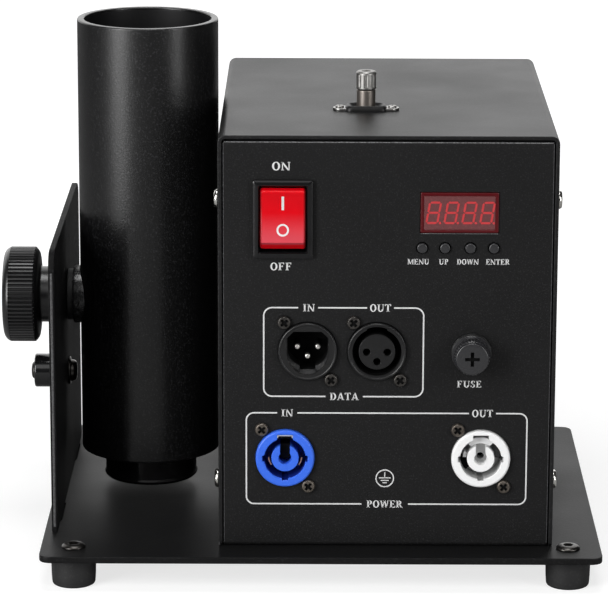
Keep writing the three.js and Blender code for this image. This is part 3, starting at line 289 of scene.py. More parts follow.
def finish(name, *values, group=grain, depth=0.008, gloss=0.5, **constants):
    """A material whose colour, roughness and relief come from a shader group, fed with the values in the
    order of its inputs. The depth is the relief's, in millimetres."""
    material = bpy.data.materials.new(name)
    material.use_nodes = True
    tree = material.node_tree
    shader = tree.nodes["Principled BSDF"]
    effect = tree.nodes.new("ShaderNodeGroup")
    effect.node_tree = group
    for socket, value in zip(effect.inputs, values):
        feed(tree, socket, value)
    looks = {"Base Color": effect.outputs["Colour"], "Roughness": effect.outputs["Roughness"]}
    if depth:
        bump = tree.nodes.new("ShaderNodeBump")
        bump.inputs["Strength"].default_value = 1
        bump.inputs["Distance"].default_value = depth * mm
        tree.links.new(effect.outputs["Height"], bump.inputs["Height"])
        looks["Normal"] = bump.outputs["Normal"]
    for label, value in {**looks, "Specular_IOR_Level": gloss, **constants}.items():
        feed(tree, shader.inputs[label.replace("_", " ")], value)
    return material


coated_black = finish(
    "coated_black", (0.0045, 0.0045, 0.0047), (0.04, 0.04, 0.042), 0.35, 0.75, 0.46, 0.03,
    depth=0.055, gloss=0.3,
)
plate_coat = ((0.0036, 0.0036, 0.0038), (0.03, 0.03, 0.031), 0.3, 0.75)
coated_base = finish("coated_base", *plate_coat, 0.48, 0.03, depth=0.05, gloss=0.19)
plate_holes = [circle(x, y, foot_hole, 24) for x, y in foot_places]
for start in tab_starts:
    plate_holes.append(rectangle(slot_left, start - tab_play, slot_right, start + tab_length + tab_play))
plate_outline = eased(rectangle(plate_left, plate_front, plate_right, plate_back), plate_corner, steps=6)
base_sheet = slab(plate_outline, plate_holes, -plate_thickness, 0, plate_edge)
build("base_sheet", base_sheet, seat(0, 0, 0), coated_base, "black_steel", "base_plate")

# Feet. Four moulded rubber feet that taper to the floor, each with a hollow round its screw and a
# rolled lower edge. A domed screw with a hexagon socket holds each one from above.
foot_height = 12.5


def turned(profile, edge=0.0, sides=48, steps=3):
    """A piece turned about its own z from pairs of radius and height, its corners rounded. A third item
    shapes the ring by its turn and keeps that corner sharp."""
    solid = profile[0][0] == 0
    corners = [Vector(p[:2]) for p in profile]
    path = []
    for i, corner in enumerate(corners):
        outline = profile[i][2] if len(profile[i]) > 2 else None
        line = [corner]
        if edge and not outline and not (solid and i in (0, len(corners) - 1)):
            three = [corners[i - 1], corner, corners[(i + 1) % len(corners)]]
            line = eased(three, edge, closed=False, steps=steps)[1:-1]
        path += [(point, outline) for point in line]
    points = []
    for point, outline in path:
        for i in range(sides):
            turn = 2 * pi * i / sides
            reach = point.x * (outline(turn) if outline else 1)
            points.append(Vector((reach * cos(turn), reach * sin(turn), point.y)))
    return points, ring_faces(len(path), sides, closed=not solid)


def hexagon(turn):
    """Reach of a hexagon whose corners lie at one."""
    return cos(pi / 6) / cos((turn % (pi / 3)) - pi / 6)


def hex_screw(head, height, shank, length, socket, depth):
    """A domed screw with a hexagon socket; its head sits on z = 0."""
    profile = [(0, -length), (shank, -length), (shank, 0), (head, 0), (head, height * 0.4)]
    profile += [(head * 0.8, height * 0.86), (socket * 1.25, height), (socket, height, hexagon)]
    profile += [(socket * 0.96, height - depth, hexagon), (0, height - depth * 1.15)]
    return turned(profile, 0.35)


# Rolled or turned metal: fine lines drawn out along one way, with slow changes of shade.
drawn_first = {"Colour": (0.5, 0.5, 0.5), "Stain": (0.2, 0.2, 0.2), "Stain Share": 0.2}
drawn, drawn_in = new_group("drawn_metal", {**drawn_first, "Roughness": 0.25, "Spread": 0.08})
line_noise = spots(drawn, 2600, 2, (1, 1, 0.06))
stain_mask = between(drawn, spots(drawn, 260, 3), 0.45, 0.75, 0, drawn_in["Stain Share"])
line_lift = calculate(drawn, "MULTIPLY", between(drawn, line_noise, 0.3, 0.7, -1, 1), drawn_in["Spread"])
give(
    drawn,
    mixed(drawn, stain_mask, drawn_in["Colour"], drawn_in["Stain"]),
    calculate(drawn, "ADD", drawn_in["Roughness"], line_lift),
    line_noise,
)


def metal(name, *values, depth=0.003):
    return finish(name, *values, group=drawn, depth=depth, Metallic=1.0)


rubber_black = finish(
    "rubber_black", (0.013, 0.013, 0.0135), (0.05, 0.05, 0.05), 0.25, 0.9, 0.6, 0.08, depth=0.03, gloss=0.4
)
blackened_steel = metal(
    "blackened_steel", (0.07, 0.066, 0.062), (0.02, 0.019, 0.018), 0.6, 0.34, 0.06, depth=0.004
)
foot_profile = [(2.9, 0), (2.9, -9), (5.4, -9), (5.4, -foot_height), (8.8, -foot_height)]
foot_profile += [(9.1, 4 - foot_height), (9.3, 0)]
for number, (x, y) in enumerate(foot_places, 1):
    rubber = turned(foot_profile, 1.1, steps=4)
    spot = seat(x, y, -plate_thickness)
    build(f"foot_rubber_{number}", rubber, spot, rubber_black, "black_rubber", f"foot_{number}")
    screw = hex_screw(4.9, 1.6, 2.4, 10, 2.2, 1.1)
    spot = seat(x, y, 0)
    build(f"foot_button_screw_{number}", screw, spot, blackened_steel, "dark_steel", f"foot_screw_{number}")

# Side bracket. An upright steel plate with rounded upper corners, tabbed through the base plate and
# welded from below, coated with it. A rubber bumper on it stops the knob's hand side; a screw and a
# domed nut hold the bumper.
bracket_outer, bracket_thickness = -69.9, 2.5
bracket_front, bracket_back, bracket_height = 18, 162, 119
pivot_y, pivot_z = 90, 84
bumper_z, bumper_length = pivot_z - 34, 12
bracket_lower = [(bracket_front, 0)]
for start in tab_starts:
    end = start + tab_length
    bracket_lower += [(start, 0), (start, -plate_thickness), (end, -plate_thickness), (end, 0)]
bracket_lower.append((bracket_back, 0))
bracket_upper = [(bracket_back, 1), (bracket_back, bracket_height), (bracket_front, bracket_height)]
bracket_upper = eased([*bracket_upper, (bracket_front, 1)], 9, closed=False, steps=8)
bracket_holes = [circle(pivot_y, pivot_z, 4.3), circle(pivot_y, bumper_z, 2.3, 20)]
coated_bracket = finish("coated_bracket", *plate_coat, 0.62, 0.03, depth=0.05, gloss=0.1)
bracket_sheet = slab(
    [Vector(p) for p in bracket_lower] + bracket_upper, bracket_holes, 0, bracket_thickness, 0.4
)
build(
    "bracket_sheet", bracket_sheet, seat(bracket_outer, 0, 0, "right"), coated_bracket, "black_steel",
    "side_bracket",
)

gloss_black = ((0.0055, 0.0055, 0.006), (0.015, 0.015, 0.015), 0.1, 1.4)
moulded_gloss = finish("moulded_gloss", *gloss_black, 0.16, 0.03, depth=0.005, gloss=0.6)
build(
    "bumper_barrel",
    turned([(2.3, 0), (7.2, 0), (7.2, bumper_length), (2.3, bumper_length)], 0.9, steps=4),
    seat(bracket_outer, pivot_y, bumper_z, "left"), moulded_gloss, "black_rubber", "side_bumper",
)
build(
    "bumper_hex_screw",
    hex_screw(3.7, 1.4, 2, 18.3, 1.7, 0.9),
    seat(bracket_outer - bumper_length, pivot_y, bumper_z, "left"), blackened_steel, "dark_steel",
    "bumper_screw",
)
build(
    "bumper_domed_nut",
    turned([(2.3, 0), (6, 0), (6, 1), (4.8, 1.05), (4.6, 2.4), (3.9, 3.4), (2.9, 3.8), (2.3, 3.6)], 0.35),
    seat(bracket_outer + bracket_thickness, pivot_y, bumper_z, "right"), blackened_steel, "dark_steel",
    "bumper_nut",
)

# Control box. A cover of one sheet is bent over the left side, the top and the right side of a chassis,
# itself one bent sheet that makes the panel, the floor and the back. The panel sits just inside the
# cover's edge, and its openings are punched before coating.
box_width, box_height, box_depth = 137, 172, 177
cover_wall, cover_bend, chassis_wall, chassis_bend = 1.6, 3.2, 1.5, 1.8
panel_face, panel_top, panel_left, panel_right = 0.8, 169.9, 2.1, 134.9
chassis_back, chassis_flange = 176.2, 12


def strip(path, across, thickness, edge, end_ease=0.0):
    """A bent sheet: a path of point and outward direction, swept with a rounded section that runs across."""
    low, high = across
    points, run = [], [0.0]
    for (p, _), (q, _) in zip(path, path[1:]):
        run.append(run[-1] + (q - p).length)
    for (point, outward), so_far in zip(path, run):
        to_end = min(so_far, run[-1] - so_far)
        ease = 0.0
        if to_end < end_ease:
            ease = end_ease - sqrt(end_ease**2 - (end_ease - to_end) ** 2)
        left, right = low + ease, high - ease
        section = eased([(left, 0), (right, 0), (right, -thickness), (left, -thickness)], edge)
        points += [(s.x, point + outward * s.y) for s in section]
    return points, ring_faces(len(path), len(section), capped=True)


def bent_path(corners, radius, steps=6):
    """Points along a bent line, each with the direction that leads out of its bends."""
    path = []
    for i, corner in enumerate(corners):
        here = Vector(corner)
        if i in (0, len(corners) - 1):
            bend, beyond = (corners[1], corners[2]) if i == 0 else (corners[-2], corners[-3])
            path.append((here, (Vector(bend) - Vector(beyond)).normalized()))
            continue
        back = (Vector(corners[i - 1]) - here).normalized()
        on = (Vector(corners[i + 1]) - here).normalized()
        centre = here + (back + on) * radius
        for k in range(steps + 1):
            swing = pi / 2 * k / steps
            outward = -on * cos(swing) - back * sin(swing)
            path.append((centre + outward * radius, outward))
    return path


def finer(path, distances):
    """Adds stations near both ends of a path, so that rounded sheet corners have points to bend at."""
    (first, out_first), (last, out_last) = path[0], path[-1]
    start = (path[1][0] - first).normalized()
    end = (path[-2][0] - last).normalized()
    opening = [(first + start * d, out_first) for d in distances]
    return opening + path[1:-1] + [(last + end * d, out_last) for d in reversed(distances)]


cover_path = bent_path([(0, 0.3), (0, box_height), (box_width, box_height), (box_width, 0.3)], cover_bend)
cover_path = finer(cover_path, (0, 0.05, 0.2, 0.45, 0.8, 1.3, 2))
cover_points, cover_faces = strip(cover_path, (0, box_depth), cover_wall, 0.4, end_ease=2)
cover_sheet = ([Vector((p.x, y, p.y)) for y, p in cover_points], cover_faces)
build("cover_sheet", cover_sheet, seat(0, 0, 0), coated_black, "black_steel", "cover")

coated_panel = finish(
    "coated_panel", (0.005, 0.005, 0.0052), (0.04, 0.04, 0.0415), 0.35, 0.5, 0.5, 0.03, depth=0.04, gloss=0.24
)

rocker_x, rocker_z = 26.2, 137.8
display_x, display_z = 97.2, 140.6
button_z = 126
button_places = (82.3, 91.5, 101.7, 111.2)
fuse_x, fuse_z = 102.7, 82.3
socket_places = {
    "data_in": (36.3, 82.9), "data_out": (64.4, 82.9), "power_in": (27.2, 37.84), "power_out": (107.1, 37.84)
}
screw_side, screw_rise = 9.5, 12


def on_panel(x, z, y=panel_face):
    return seat(x, y, z, "front")


def with_holes(piece, cutter_shape, where):
    """Cuts shapes out of a piece for good."""
    cutter = build("punches", cutter_shape, where, coated_panel)
    cutter.modifiers.clear()
    punch = piece.modifiers.new("punch", "BOOLEAN")
    punch.object = cutter
    punch.solver = "EXACT"
    piece.modifiers.move(1, 0)
    found = piece.evaluated_get(bpy.context.evaluated_depsgraph_get())
    punched = bpy.data.meshes.new_from_object(found)
    piece.modifiers.remove(punch)
    piece.data = punched
    punched.name = piece.name
    bpy.data.objects.remove(cutter)


# Punches through the panel, made along z and turned to the front
fuse_hole, button_hole, socket_hole, screw_hole = 6.5, 2.5, 12.3, 1.7
punches = [
    rectangle(x - half_width, z - half_height, x + half_width, z + half_height)
    for x, z, half_width, half_height in ((rocker_x, rocker_z, 11, 14.4), (display_x, display_z, 16, 8.5))
]
punches += [circle(fuse_x, fuse_z, fuse_hole)] + [circle(x, button_z, button_hole, 24) for x in button_places]
for x, z in socket_places.values():
    punches.append(circle(x, z, socket_hole, 64))
    punches += [circle(x + side * screw_side, z - side * screw_rise, screw_hole, 16) for side in (-1, 1)]
chassis_path = bent_path(
    [
        (panel_face + chassis_flange, panel_top), (panel_face, panel_top), (panel_face, 0),
        (chassis_back, 0), (chassis_back, panel_top), (chassis_back - chassis_flange, panel_top),
    ],
    chassis_bend,
)
chassis_points, chassis_faces = strip(chassis_path, (panel_left, panel_right), chassis_wall, 0.45)
chassis_shape = ([Vector((x, p.x, p.y)) for x, p in chassis_points], chassis_faces)
chassis_sheet = build("chassis_sheet", chassis_shape, seat(0, 0, 0), coated_panel, "panel_steel", "chassis")
with_holes(chassis_sheet, together(*[slab(hole, [], -4, 2) for hole in punches]), on_panel(0, 0))

# Painted edge highlights. Pale beads along the bracket's, the plate's, the cover's and the panel's edges, and
# one under the display window, paint the highlights that rounded edges catch, dotted by the grain. The
# painted highlight fades from the start to the end along x. A black strip in the seam between cover and panel
# paints its shade.


def axes(tree):
    """The piece's own places, one output for each axis."""
    where = tree.nodes.new("ShaderNodeTexCoord")
    split = tree.nodes.new("ShaderNodeSeparateXYZ")
    tree.links.new(where.outputs["Object"], split.inputs[0])
    return split.outputs


# A pale line along an edge, painted highlight: full at Start, down to the Least share at End along x, broken
# into dots by grain noise.
glint_first = {"Colour": (0.01, 0.01, 0.01), "Worn": (0.15, 0.15, 0.15), "Start": -1, "End": 1}
worn, glint_in = new_group("worn_edge", {**glint_first, "Least": 0.2, "Roughness": 0.45})
glint_fade = between(worn, axes(worn)["X"], glint_in["Start"], glint_in["End"], 1, glint_in["Least"])
glint_noise = spots(worn, 1500, 2)
glint_mask = calculate(worn, "MULTIPLY", glint_fade, between(worn, glint_noise, 0.4, 0.6, 0.35, 1))
give(worn, mixed(worn, glint_mask, glint_in["Colour"], glint_in["Worn"]), glint_in["Roughness"], glint_noise)


def edge_finish(name, *values, rough=0.45, depth=0.02):
    return finish(name, *values, rough, group=worn, depth=depth)


def rod(low, high, radius=0.22, edge=0.1, sides=12):
    """A fine rounded line along z."""
    return turned([(0, low), (radius, low), (radius, high), (0, high)], edge, sides)


everywhere = (0.3, 0.4, 1.0)  # start, end and least share of the painted highlight
edge_sheen = edge_finish(
    "edge_sheen", (0.016, 0.016, 0.0165), (0.07, 0.07, 0.072), *everywhere, rough=0.62, depth=0.03
)
# A pale bead down the bracket's front edge: painted highlight.
bracket_edge = seat(bracket_outer + bracket_thickness / 2, bracket_front + 0.8, 0)
bracket_bead = rod(2, bracket_height - 8.4, 0.95, 0.4, 16)
build("bracket_edge_bead", bracket_bead, bracket_edge, edge_sheen, "black_steel")
edge_grey = edge_finish("edge_grey", (0.006, 0.006, 0.0063), (0.16, 0.16, 0.165), -0.06, 0.1, 0.3)
edge_pale = edge_finish("edge_pale", (0.006, 0.006, 0.0063), (0.24, 0.24, 0.245), -0.03, 0.12, 0.12)
edge_dotted = edge_finish("edge_dotted", (0.012, 0.012, 0.0125), (0.22, 0.22, 0.225), *everywhere)
edge_faint = edge_finish("edge_faint", (0.012, 0.012, 0.0125), (0.09, 0.09, 0.095), *everywhere)
# Pale beads along the plate's front edge, the cover's top front edge, the panel's top edge and under the
# display window: painted highlights.
for name, low, high, y, z, coat, slot, radius in (
    ("plate_edge", plate_left + 6, plate_right - 6, plate_front + 0.3, -0.3, edge_grey, "black_steel", 0.22),
    ("cover_edge", cover_bend, box_width - cover_bend, 0.3, box_height - 0.3, edge_pale, "black_steel", 0.22),
    (
        "panel_top", panel_left + 0.5, panel_right - 0.5, panel_face + 0.2, panel_top - 0.75,
        edge_dotted, "panel_steel", 0.2,
    ),
    ("window_sill", 81.6, 112.9, panel_face + 0.14, 131.9, edge_dotted, "panel_steel", 0.16),
):
    build(f"{name}_bead", rod(low, high, radius), seat(0, y, z, "right"), coat, slot)
# Fainter beads up the cover's left edge and the panel's side edges: painted highlights.
for name, x, y, low, high in (
    ("cover_left", 0.3, 0.3, 0.4, box_height - cover_bend),
    ("panel_left", panel_left + 0.25, panel_face + 0.2, chassis_bend, panel_top - 1),
    ("panel_right", panel_right - 0.25, panel_face + 0.2, chassis_bend, panel_top - 1),
):
    build(f"{name}_bead", rod(low, high, 0.2), seat(x, y, 0), edge_faint, "panel_steel")
# A black strip deep in each side seam between cover and panel: painted shade in the seam.
for side, x in (("left", 1.62), ("right", box_width - 2.08)):
    painted_seam = slab(rectangle(x, 4, x + 0.46, 7), [], 3, 168, 0.1, steps=1)
    build(f"seam_shade_strip_{side}", painted_seam, seat(0, 0, 0), rubber_black, "black_rubber")

# Cover screws. Nickel-plated pan-head screws with a cross recess, four in each side wall, driven into
# the chassis's flanges.


def cross(arm, half):
    """Reach of a cross recess by its arm length and half its arm's width."""

    def reach(turn):
        swing = abs((turn + pi / 4) % (pi / 2) - pi / 4)
        return min(arm / cos(swing), half / max(sin(swing), 1e-6))

    return reach


def cross_screw(head, height, shank, length, arm, half, depth):
    """A pan-head screw with a cross recess; its head sits on z = 0."""
    recess = cross(arm, half)
    profile = [(0, -length), (shank, -length), (shank, 0), (head, 0), (head, height * 0.5)]
    profile += [(head * 0.86, height * 0.94), (arm * 1.15, height), (1, height, recess)]
    return turned([*profile, (0.92, height - depth, recess), (0, height - depth * 1.1)], 0.4, sides=64)


bright_nickel = metal("bright_nickel", (0.72, 0.71, 0.68), (0.35, 0.31, 0.26), 0.35, 0.17, 0.06)
screw_inset, screw_low, screw_high = 9, 26.6, box_height - 27.6
side_places = [(y, z) for y in (screw_inset, box_depth - screw_inset) for z in (screw_low, screw_high)]
for number, (y, z) in enumerate(side_places, 1):
    for side, x in (("left", 0), ("right", box_width)):
        screw = cross_screw(3.9, 1.8, 1.9, 6, 1.9, 0.5, 1.3)
        ending = f"{side}_{number}"
        spot = seat(x, y, z, side)
        build(f"side_screw_{ending}", screw, spot, bright_nickel, "bright_steel", f"cover_screw_{ending}")

# Rocker switch. A snap-in switch of black polyamide with a raised bezel. The rocker is moulded in
# translucent red and printed with a line at its ON end and a ring at its OFF end.


def framed(stations, steps=5):
    """A rectangular piece lofted through stations of width, height, corner radius and depth."""
    points = []
    for width, height, corner, depth in stations:
        outline = eased(rectangle(-width / 2, -height / 2, width / 2, height / 2), corner, steps=steps)
        points += [Vector((p.x, p.y, depth)) for p in outline]
    return points, ring_faces(len(stations), len(outline), capped=True)


switch_stations = [
    (21.4, 28.2, 0.6, -22), (21.4, 28.2, 0.6, -0.1), (23.4, 31.4, 0.9, -0.02), (24, 32, 0.9, 0.3),
    (24, 32, 0.9, 1.7), (22.4, 30.4, 0.9, 2.2), (19.9, 28.0, 0.7, 2.2), (19.3, 27.4, 0.6, 1.7),
    (18.9, 26.7, 0.5, 1.2), (18.8, 26.6, 0.5, -19),
]
blades = [slab(rectangle(-3.15, z - 0.4, 3.15, z + 0.4), [], -31, -20, 0.15, steps=1) for z in (-7, 0, 7)]
bezel_black = finish("bezel_black", *gloss_black, 0.22, 0.04, depth=0.006, gloss=0.36)
switch = together(framed(switch_stations), *blades)
build("switch_bezel", switch, on_panel(rocker_x, rocker_z), bezel_black, "black_plastic", "rocker_frame")

# The rocker's section is drawn level about its pivot, in depth forward and height, with a hollow face
# between two blunt ends. It is then tipped to ON, as the solid is.
rocker_swing = radians(10)
rocker_middle, rocker_rise, rocker_half = 4.1, 2.4, 9.1
rocker_reach = (13 - rocker_middle * sin(rocker_swing)) / cos(rocker_swing)
face_top, face_foot = rocker_reach - 1.8, 2.8 - rocker_reach
tip = Matrix.Rotation(rocker_swing, 2)


def face_point(height, proud=0.0):
    return rocker_middle + rocker_rise * (height / face_top) ** 2 + proud, height


rocker_face = [face_point(face_top * i / 10) for i in range(-10, 11)]
rocker_face = [face_point(face_foot)] + [(x, z) for x, z in rocker_face if z > face_foot]
rocker_rest = [(rocker_middle, rocker_reach), (0, 9.5), (-5, 0), (0, -9.5), (1.6, -rocker_reach)]

# The lens group paints light and shade into the colour: a pale band between two heights is a painted sheen of
# light from above, stopping at a foot height, and a deep red rim within the last millimetre of each side of
# the given half width is painted shade. Slow clouds of deeper red vary at random.
red_first = {"Colour": (0.6, 0.002, 0.006), "Deep": (0.12, 0.001, 0.002), "Roughness": 0.18}
sheen_first = {"Pale": (0.12, 0.001, 0.002), "Pale Above": -8, "Pale Below": -9}
red_lens, red_in = new_group("red_lens", {**red_first, **sheen_first, "Foot": -9, "Middle": 0, "Side": 9})
lens_cloud = between(red_lens, spots(red_lens, 120, 2), 0.3, 0.8, 0, 0.2)
lens_body = mixed(red_lens, lens_cloud, red_in["Colour"], red_in["Deep"])
lens_axes = axes(red_lens)
lens_painted_sheen = between(red_lens, lens_axes["Z"], red_in["Pale Above"], red_in["Pale Below"], 0, 1)
lens_foot = calculate(red_lens, "GREATER_THAN", lens_axes["Z"], red_in["Foot"])
lens_sheened = mixed(red_lens, calculate(red_lens, "MULTIPLY", lens_painted_sheen, lens_foot), lens_body, red_in["Pale"])
lens_across = calculate(red_lens, "SUBTRACT", lens_axes["X"], red_in["Middle"])
lens_past = calculate(red_lens, "SUBTRACT", calculate(red_lens, "ABSOLUTE", lens_across), red_in["Side"])
lens_side_shade = between(red_lens, lens_past, -1.0 * mm, -0.3 * mm, 0, 0.9)
lens_grain = spots(red_lens, 900, 2)
give(
    red_lens,
    mixed(red_lens, lens_side_shade, lens_sheened, red_in["Deep"]),
    calculate(red_lens, "ADD", red_in["Roughness"], between(red_lens, lens_grain, 0, 1, -0.04, 0.04)),
    lens_grain,
)

# For the rocker the painted sheen starts 3 mm above the switch's middle, is full 7 mm below it and stops
# below 9.5 mm, on the end band; the painted side shade sits at the lens's two sides.
sheen_high, sheen_low, foot = [place(0, 0, rocker_z + z).z for z in (3, -7, -9.5)]
rocker_red = finish(
    "rocker_red", (0.62, 0.0008, 0.006), (0.17, 0.0008, 0.003), 0.34, (0.5, 0.045, 0.063),
    sheen_high, sheen_low, foot, place(rocker_x, 0, 0).x, rocker_half * mm,
    group=red_lens, depth=0.003, gloss=0.16,
)
rocker_outline = eased([tip @ Vector(p) for p in rocker_face + rocker_rest], 0.7)
rocker_points, rocker_faces = slab(rocker_outline, [], -rocker_half, rocker_half, 0.9, steps=4)
rocker_shape = ([Vector((p.z, p.y, p.x)) for p in rocker_points], rocker_faces)
rocker_seat = on_panel(rocker_x, rocker_z, panel_face + 1.4)
build("rocker_lens", rocker_shape, rocker_seat, rocker_red, "red_plastic", "rocker", body="switch_rocker")

print_white = finish("print_white", (0.62, 0.62, 0.62), (0.4, 0.4, 0.4), 0.35, 0.5, 0.55, 0.05, depth=0.01)


def on_face(middle, shape):
    """Lays a flat mark on the rocker's hollow face, its middle at that height."""
    points, faces = shape
    placed = [tip @ Vector(face_point(middle + p.y, p.z)) for p in points]
    return [Vector((p.x, spot.y, spot.x)) for p, spot in zip(points, placed)], faces


line_foot, line_step, mark_low, mark_high = -2.75, 1.1, -0.1, 0.05
marks = []
for i in range(5):
    y = line_foot + line_step * i
    marks.append(on_face(6.1, slab(rectangle(-0.5, y, 0.5, y + line_step), [], mark_low, mark_high)))
marks.append(on_face(-4.7, slab(circle(0, 0, 2.5, 40), [circle(0, 0, 1.75, 40)], mark_low, mark_high)))
build("rocker_print", together(*marks), rocker_seat, print_white, body="switch_rocker")

# Display. A four-figure numeral display behind a tinted filter that clips into the panel, and the board
# that carries it with four key switches. The round buttons are moulded with a stem that reaches them.
display_width, display_height = 31.4, 16.4
shine = {"Coat_Weight": 0.4, "Coat_Roughness": 0.06}
deep_red = {"group": red_lens, "depth": 0}
filter_red = finish("filter_red", (0.075, 0.002, 0.004), (0.02, 0.001, 0.002), 0.3, gloss=0.3, **deep_red)
filter_face = finish(
    "filter_face", (0.115, 0.03, 0.032), (0.2, 0.06, 0.06), 0.3, 0.8, 0.25, 0.04, depth=0.004, **shine
)
numeral_red = finish("numeral_red", (0.5, 0.03, 0.035), (0.32, 0.02, 0.025), 0.3, **deep_red, **shine)


def window(*stations):
    """A framed piece from stations given as inset, corner radius and depth."""
    return framed([(display_width - inset, display_height - inset, *rest) for inset, *rest in stations])


display_seat = on_panel(display_x, display_z)
filter_frame = window((0, 0.4, -2.7), (0, 0.4, 0.3), (0.5, 0.5, 0.5), (2.3, 0.4, 0.5), (2.7, 0.4, 0.3))
build("filter_frame", filter_frame, display_seat, filter_red, "window_red", "display_window")
filter_window = window((2.9, 0.4, 0.1), (2.9, 0.4, 0.34), (3.1, 0.4, 0.4))
build("filter_window", filter_window, display_seat, filter_face, "window_red")

figure_half, figure_rise, figure_pitch, bar, lean = 2.2, 4.2, 7.2, 0.42, 0.17
bar_ends = (
    (-1, 1, 1, 1), (-1, 0, 1, 0), (-1, -1, 1, -1), (-1, 0, -1, 1), (1, 0, 1, 1), (-1, -1, -1, 0),
    (1, -1, 1, 0),
)


def figure(middle):
    """The seven pointed bars and the point of one slanted figure, as outlines."""
    outlines = []
    for x0, y0, x1, y1 in bar_ends:
        start, end = [Vector((x * figure_half, y * figure_rise)) for x, y in ((x0, y0), (x1, y1))]
        way = (end - start).normalized()
        side = Vector((-way.y, way.x)) * bar
        start, end = start + way * bar * 0.35, end - way * bar * 0.35
        corners = [start, start + way * bar - side, end - way * bar - side, end, end - way * bar + side]
        outlines.append([(middle + p.x + p.y * lean, p.y) for p in (*corners, start + way * bar + side)])
    return outlines + [circle(middle + figure_half + 1.05 - figure_rise * lean, -figure_rise, 0.5, 16)]


figures = [outline for i in range(4) for outline in figure((i - 1.5) * figure_pitch + 0.35)]
figures = together(*[slab(outline, [], 0.38, 0.45, steps=1) for outline in figures])
build("filter_numerals", figures, display_seat, numeral_red, "window_red")

cap_plastic = finish(
    "cap_plastic", (0.0165, 0.0165, 0.0182), (0.04, 0.04, 0.043), 0.15, 0.6, 0.3, 0.04, gloss=0.75
)
button_profile = [(0, -5.35), (1.6, -5.35), (1.6, -2.8), (3.2, -2.8), (3.2, -1.8), (2.05, -1.8), (2.05, 1.2)]
for name, x in zip(("menu", "up", "down", "enter"), button_places):
    cap, spot = turned([*button_profile, (0, 1.2)], 0.4), on_panel(x, button_z)
    build(f"button_cap_{name}", cap, spot, cap_plastic, "black_plastic", f"button_{name}", body=f"{name}_key")


def carry_over(node, material):
    """Gives a CAD node that is right as it stands its finish."""
    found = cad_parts[node]
    found.data.materials.clear()
    found.data.materials.append(material)


board_green = finish("board_green", (0.012, 0.07, 0.03), (0.2, 0.17, 0.08), 0.4, 2.2, 0.35, 0.08, depth=0.02)
carry_over("control_board", board_green)

# Data sockets. Round black sockets pushed through the panel from behind: a three-pin input with a keyed
# bore, and a three-hole output with an insulating core inside a ring. Both are glass-filled polyamide.


def keyed_bore(radius, flat, flat_half, low, key_half, key_reach):
    """Reach of a bore, flat and square-shouldered at its top, oval below, with a key slot at its bottom."""

    def reach(turn):
        across, up = abs(cos(turn)), sin(turn)
        if up > 0:
            found = min(radius / max(across, 1e-6), flat / up, (flat + flat_half) / (across + up))
        else:
            oval = 1 / hypot(across / radius, up / low)
            found = max(oval, min(key_reach / max(-up, 1e-6), key_half / max(across, 1e-6)))
        return found / radius

    return reach


def slotted_bore(radius, slots):
    """Reach of a round bore with slots, each given by its direction, half width and reach."""

    def reach(turn):
        found = radius
        for direction, half_width, slot_reach in slots:
            swing = (turn - direction + pi) % (2 * pi) - pi
            if cos(swing) > 0:
                across = max(abs(sin(swing)), 1e-6)
                found = max(found, min(slot_reach / cos(swing), half_width / across))
        return found / radius

    return reach


def socket_back():
    """The fixing plate and the body behind the panel, shared by the round sockets."""
    holes = [circle(-side * screw_side, side * screw_rise, screw_hole, 16) for side in (1, -1)]
    return together(
        slab(eased(rectangle(-13, -15.5, 13, 15.5), 2.5), [*holes, circle(0, 0, 10.8, 64)], -3.5, -1.6, 0.3),
        turned([(10.6, -22), (10.9, -22), (10.9, -1.9), (10.6, -1.9)], sides=64),
    )


def data_ring(inner_profile, sides=144):
    """The socket's front ring, whose face steps down once towards the bore."""
    outer = [(11.98, -2), (12, 1.6), (11.6, 2), (11.1, 2), (10.9, 1.75), (10.75, 1.75)]
    return turned([*outer, *inner_profile], 0.15, sides=sides, steps=2)


def copies(shape, places):
    """The same shape again at each place."""
    points, faces = shape
    return together(*[([p + Vector(spot).to_3d() for p in points], faces) for spot in places])


satin_socket = finish(
    "satin_socket", (0.006, 0.006, 0.0063), (0.025, 0.025, 0.026), 0.25, 0.6, 0.34, 0.05,
    depth=0.01, gloss=0.45,
)
# Flat black for pieces set where only shade falls, in bores, channels, keyholes and recesses: painted shade.
shade_black = finish(
    "shade_black", (0.002, 0.002, 0.002), (0.004, 0.004, 0.004), 0.2, 0.6, 0.7, 0.05, depth=0.01, gloss=0.12
)
# A lighter grey that paints the light caught by the input socket's mouth and by the fuse cap's rim.
sheen_grey = finish("sheen_grey", (0.028, 0.028, 0.029), (0.05, 0.05, 0.05), 0.15, 0.6, 0.36, 0.04)
pin_metal = metal("pin_metal", (0.9, 0.88, 0.84), (0.6, 0.52, 0.4), 0.3, 0.34, 0.06, depth=0)

bore, mouth = keyed_bore(8.3, 8.3, 5.7, 7.1, 3.2, 8.1), keyed_bore(8.3, 8.3, 5.7, 9.4, 0.1, 0.1)
input_profile = [(8.5, 1.75, mouth), (8.3, 1.3, mouth), (8.3, -1.2, bore), (8.3, -11, bore)]
input_ring = data_ring([*input_profile, (10.4, -11.2), (10.6, -12), (10.7, -3)], sides=240)
# A lighter grey lip at the bore's mouth: painted light on the mouth's flare.
input_lip = [(8.34, 1.32, mouth), (8.3, -1.15, bore), (8.2, -1.15, bore), (8.26, 1.2, mouth)]
# Flat black sheets line the bore behind its mouth, sleeve the pins' shafts and fill the floor behind them:
# painted shade inside the socket.
input_bore_shade = [(8.3, -3.4, bore), (8.3, -11, bore), (8.23, -11, bore), (8.23, -3.5, bore)]
pin_places = [(-4.2, 1.0), (4.2, 1.0), (0, -3.0)]
pin = turned([(0, -15), (1.15, -15), (1.15, -3.2), (0.9, -2.7), (0, -2.6)], 0.25, sides=24)
pin_shade_sleeve = turned([(1.17, -11.2), (1.32, -11.2), (1.32, -3.8), (1.17, -3.8)], 0.02, sides=24)
pin_holes = [circle(x, y, 1.2, 20) for x, y in pin_places]
input_floor_shade = slab(circle(0, 0, 10.3, 64), pin_holes, -16, -11.25, 0.1)

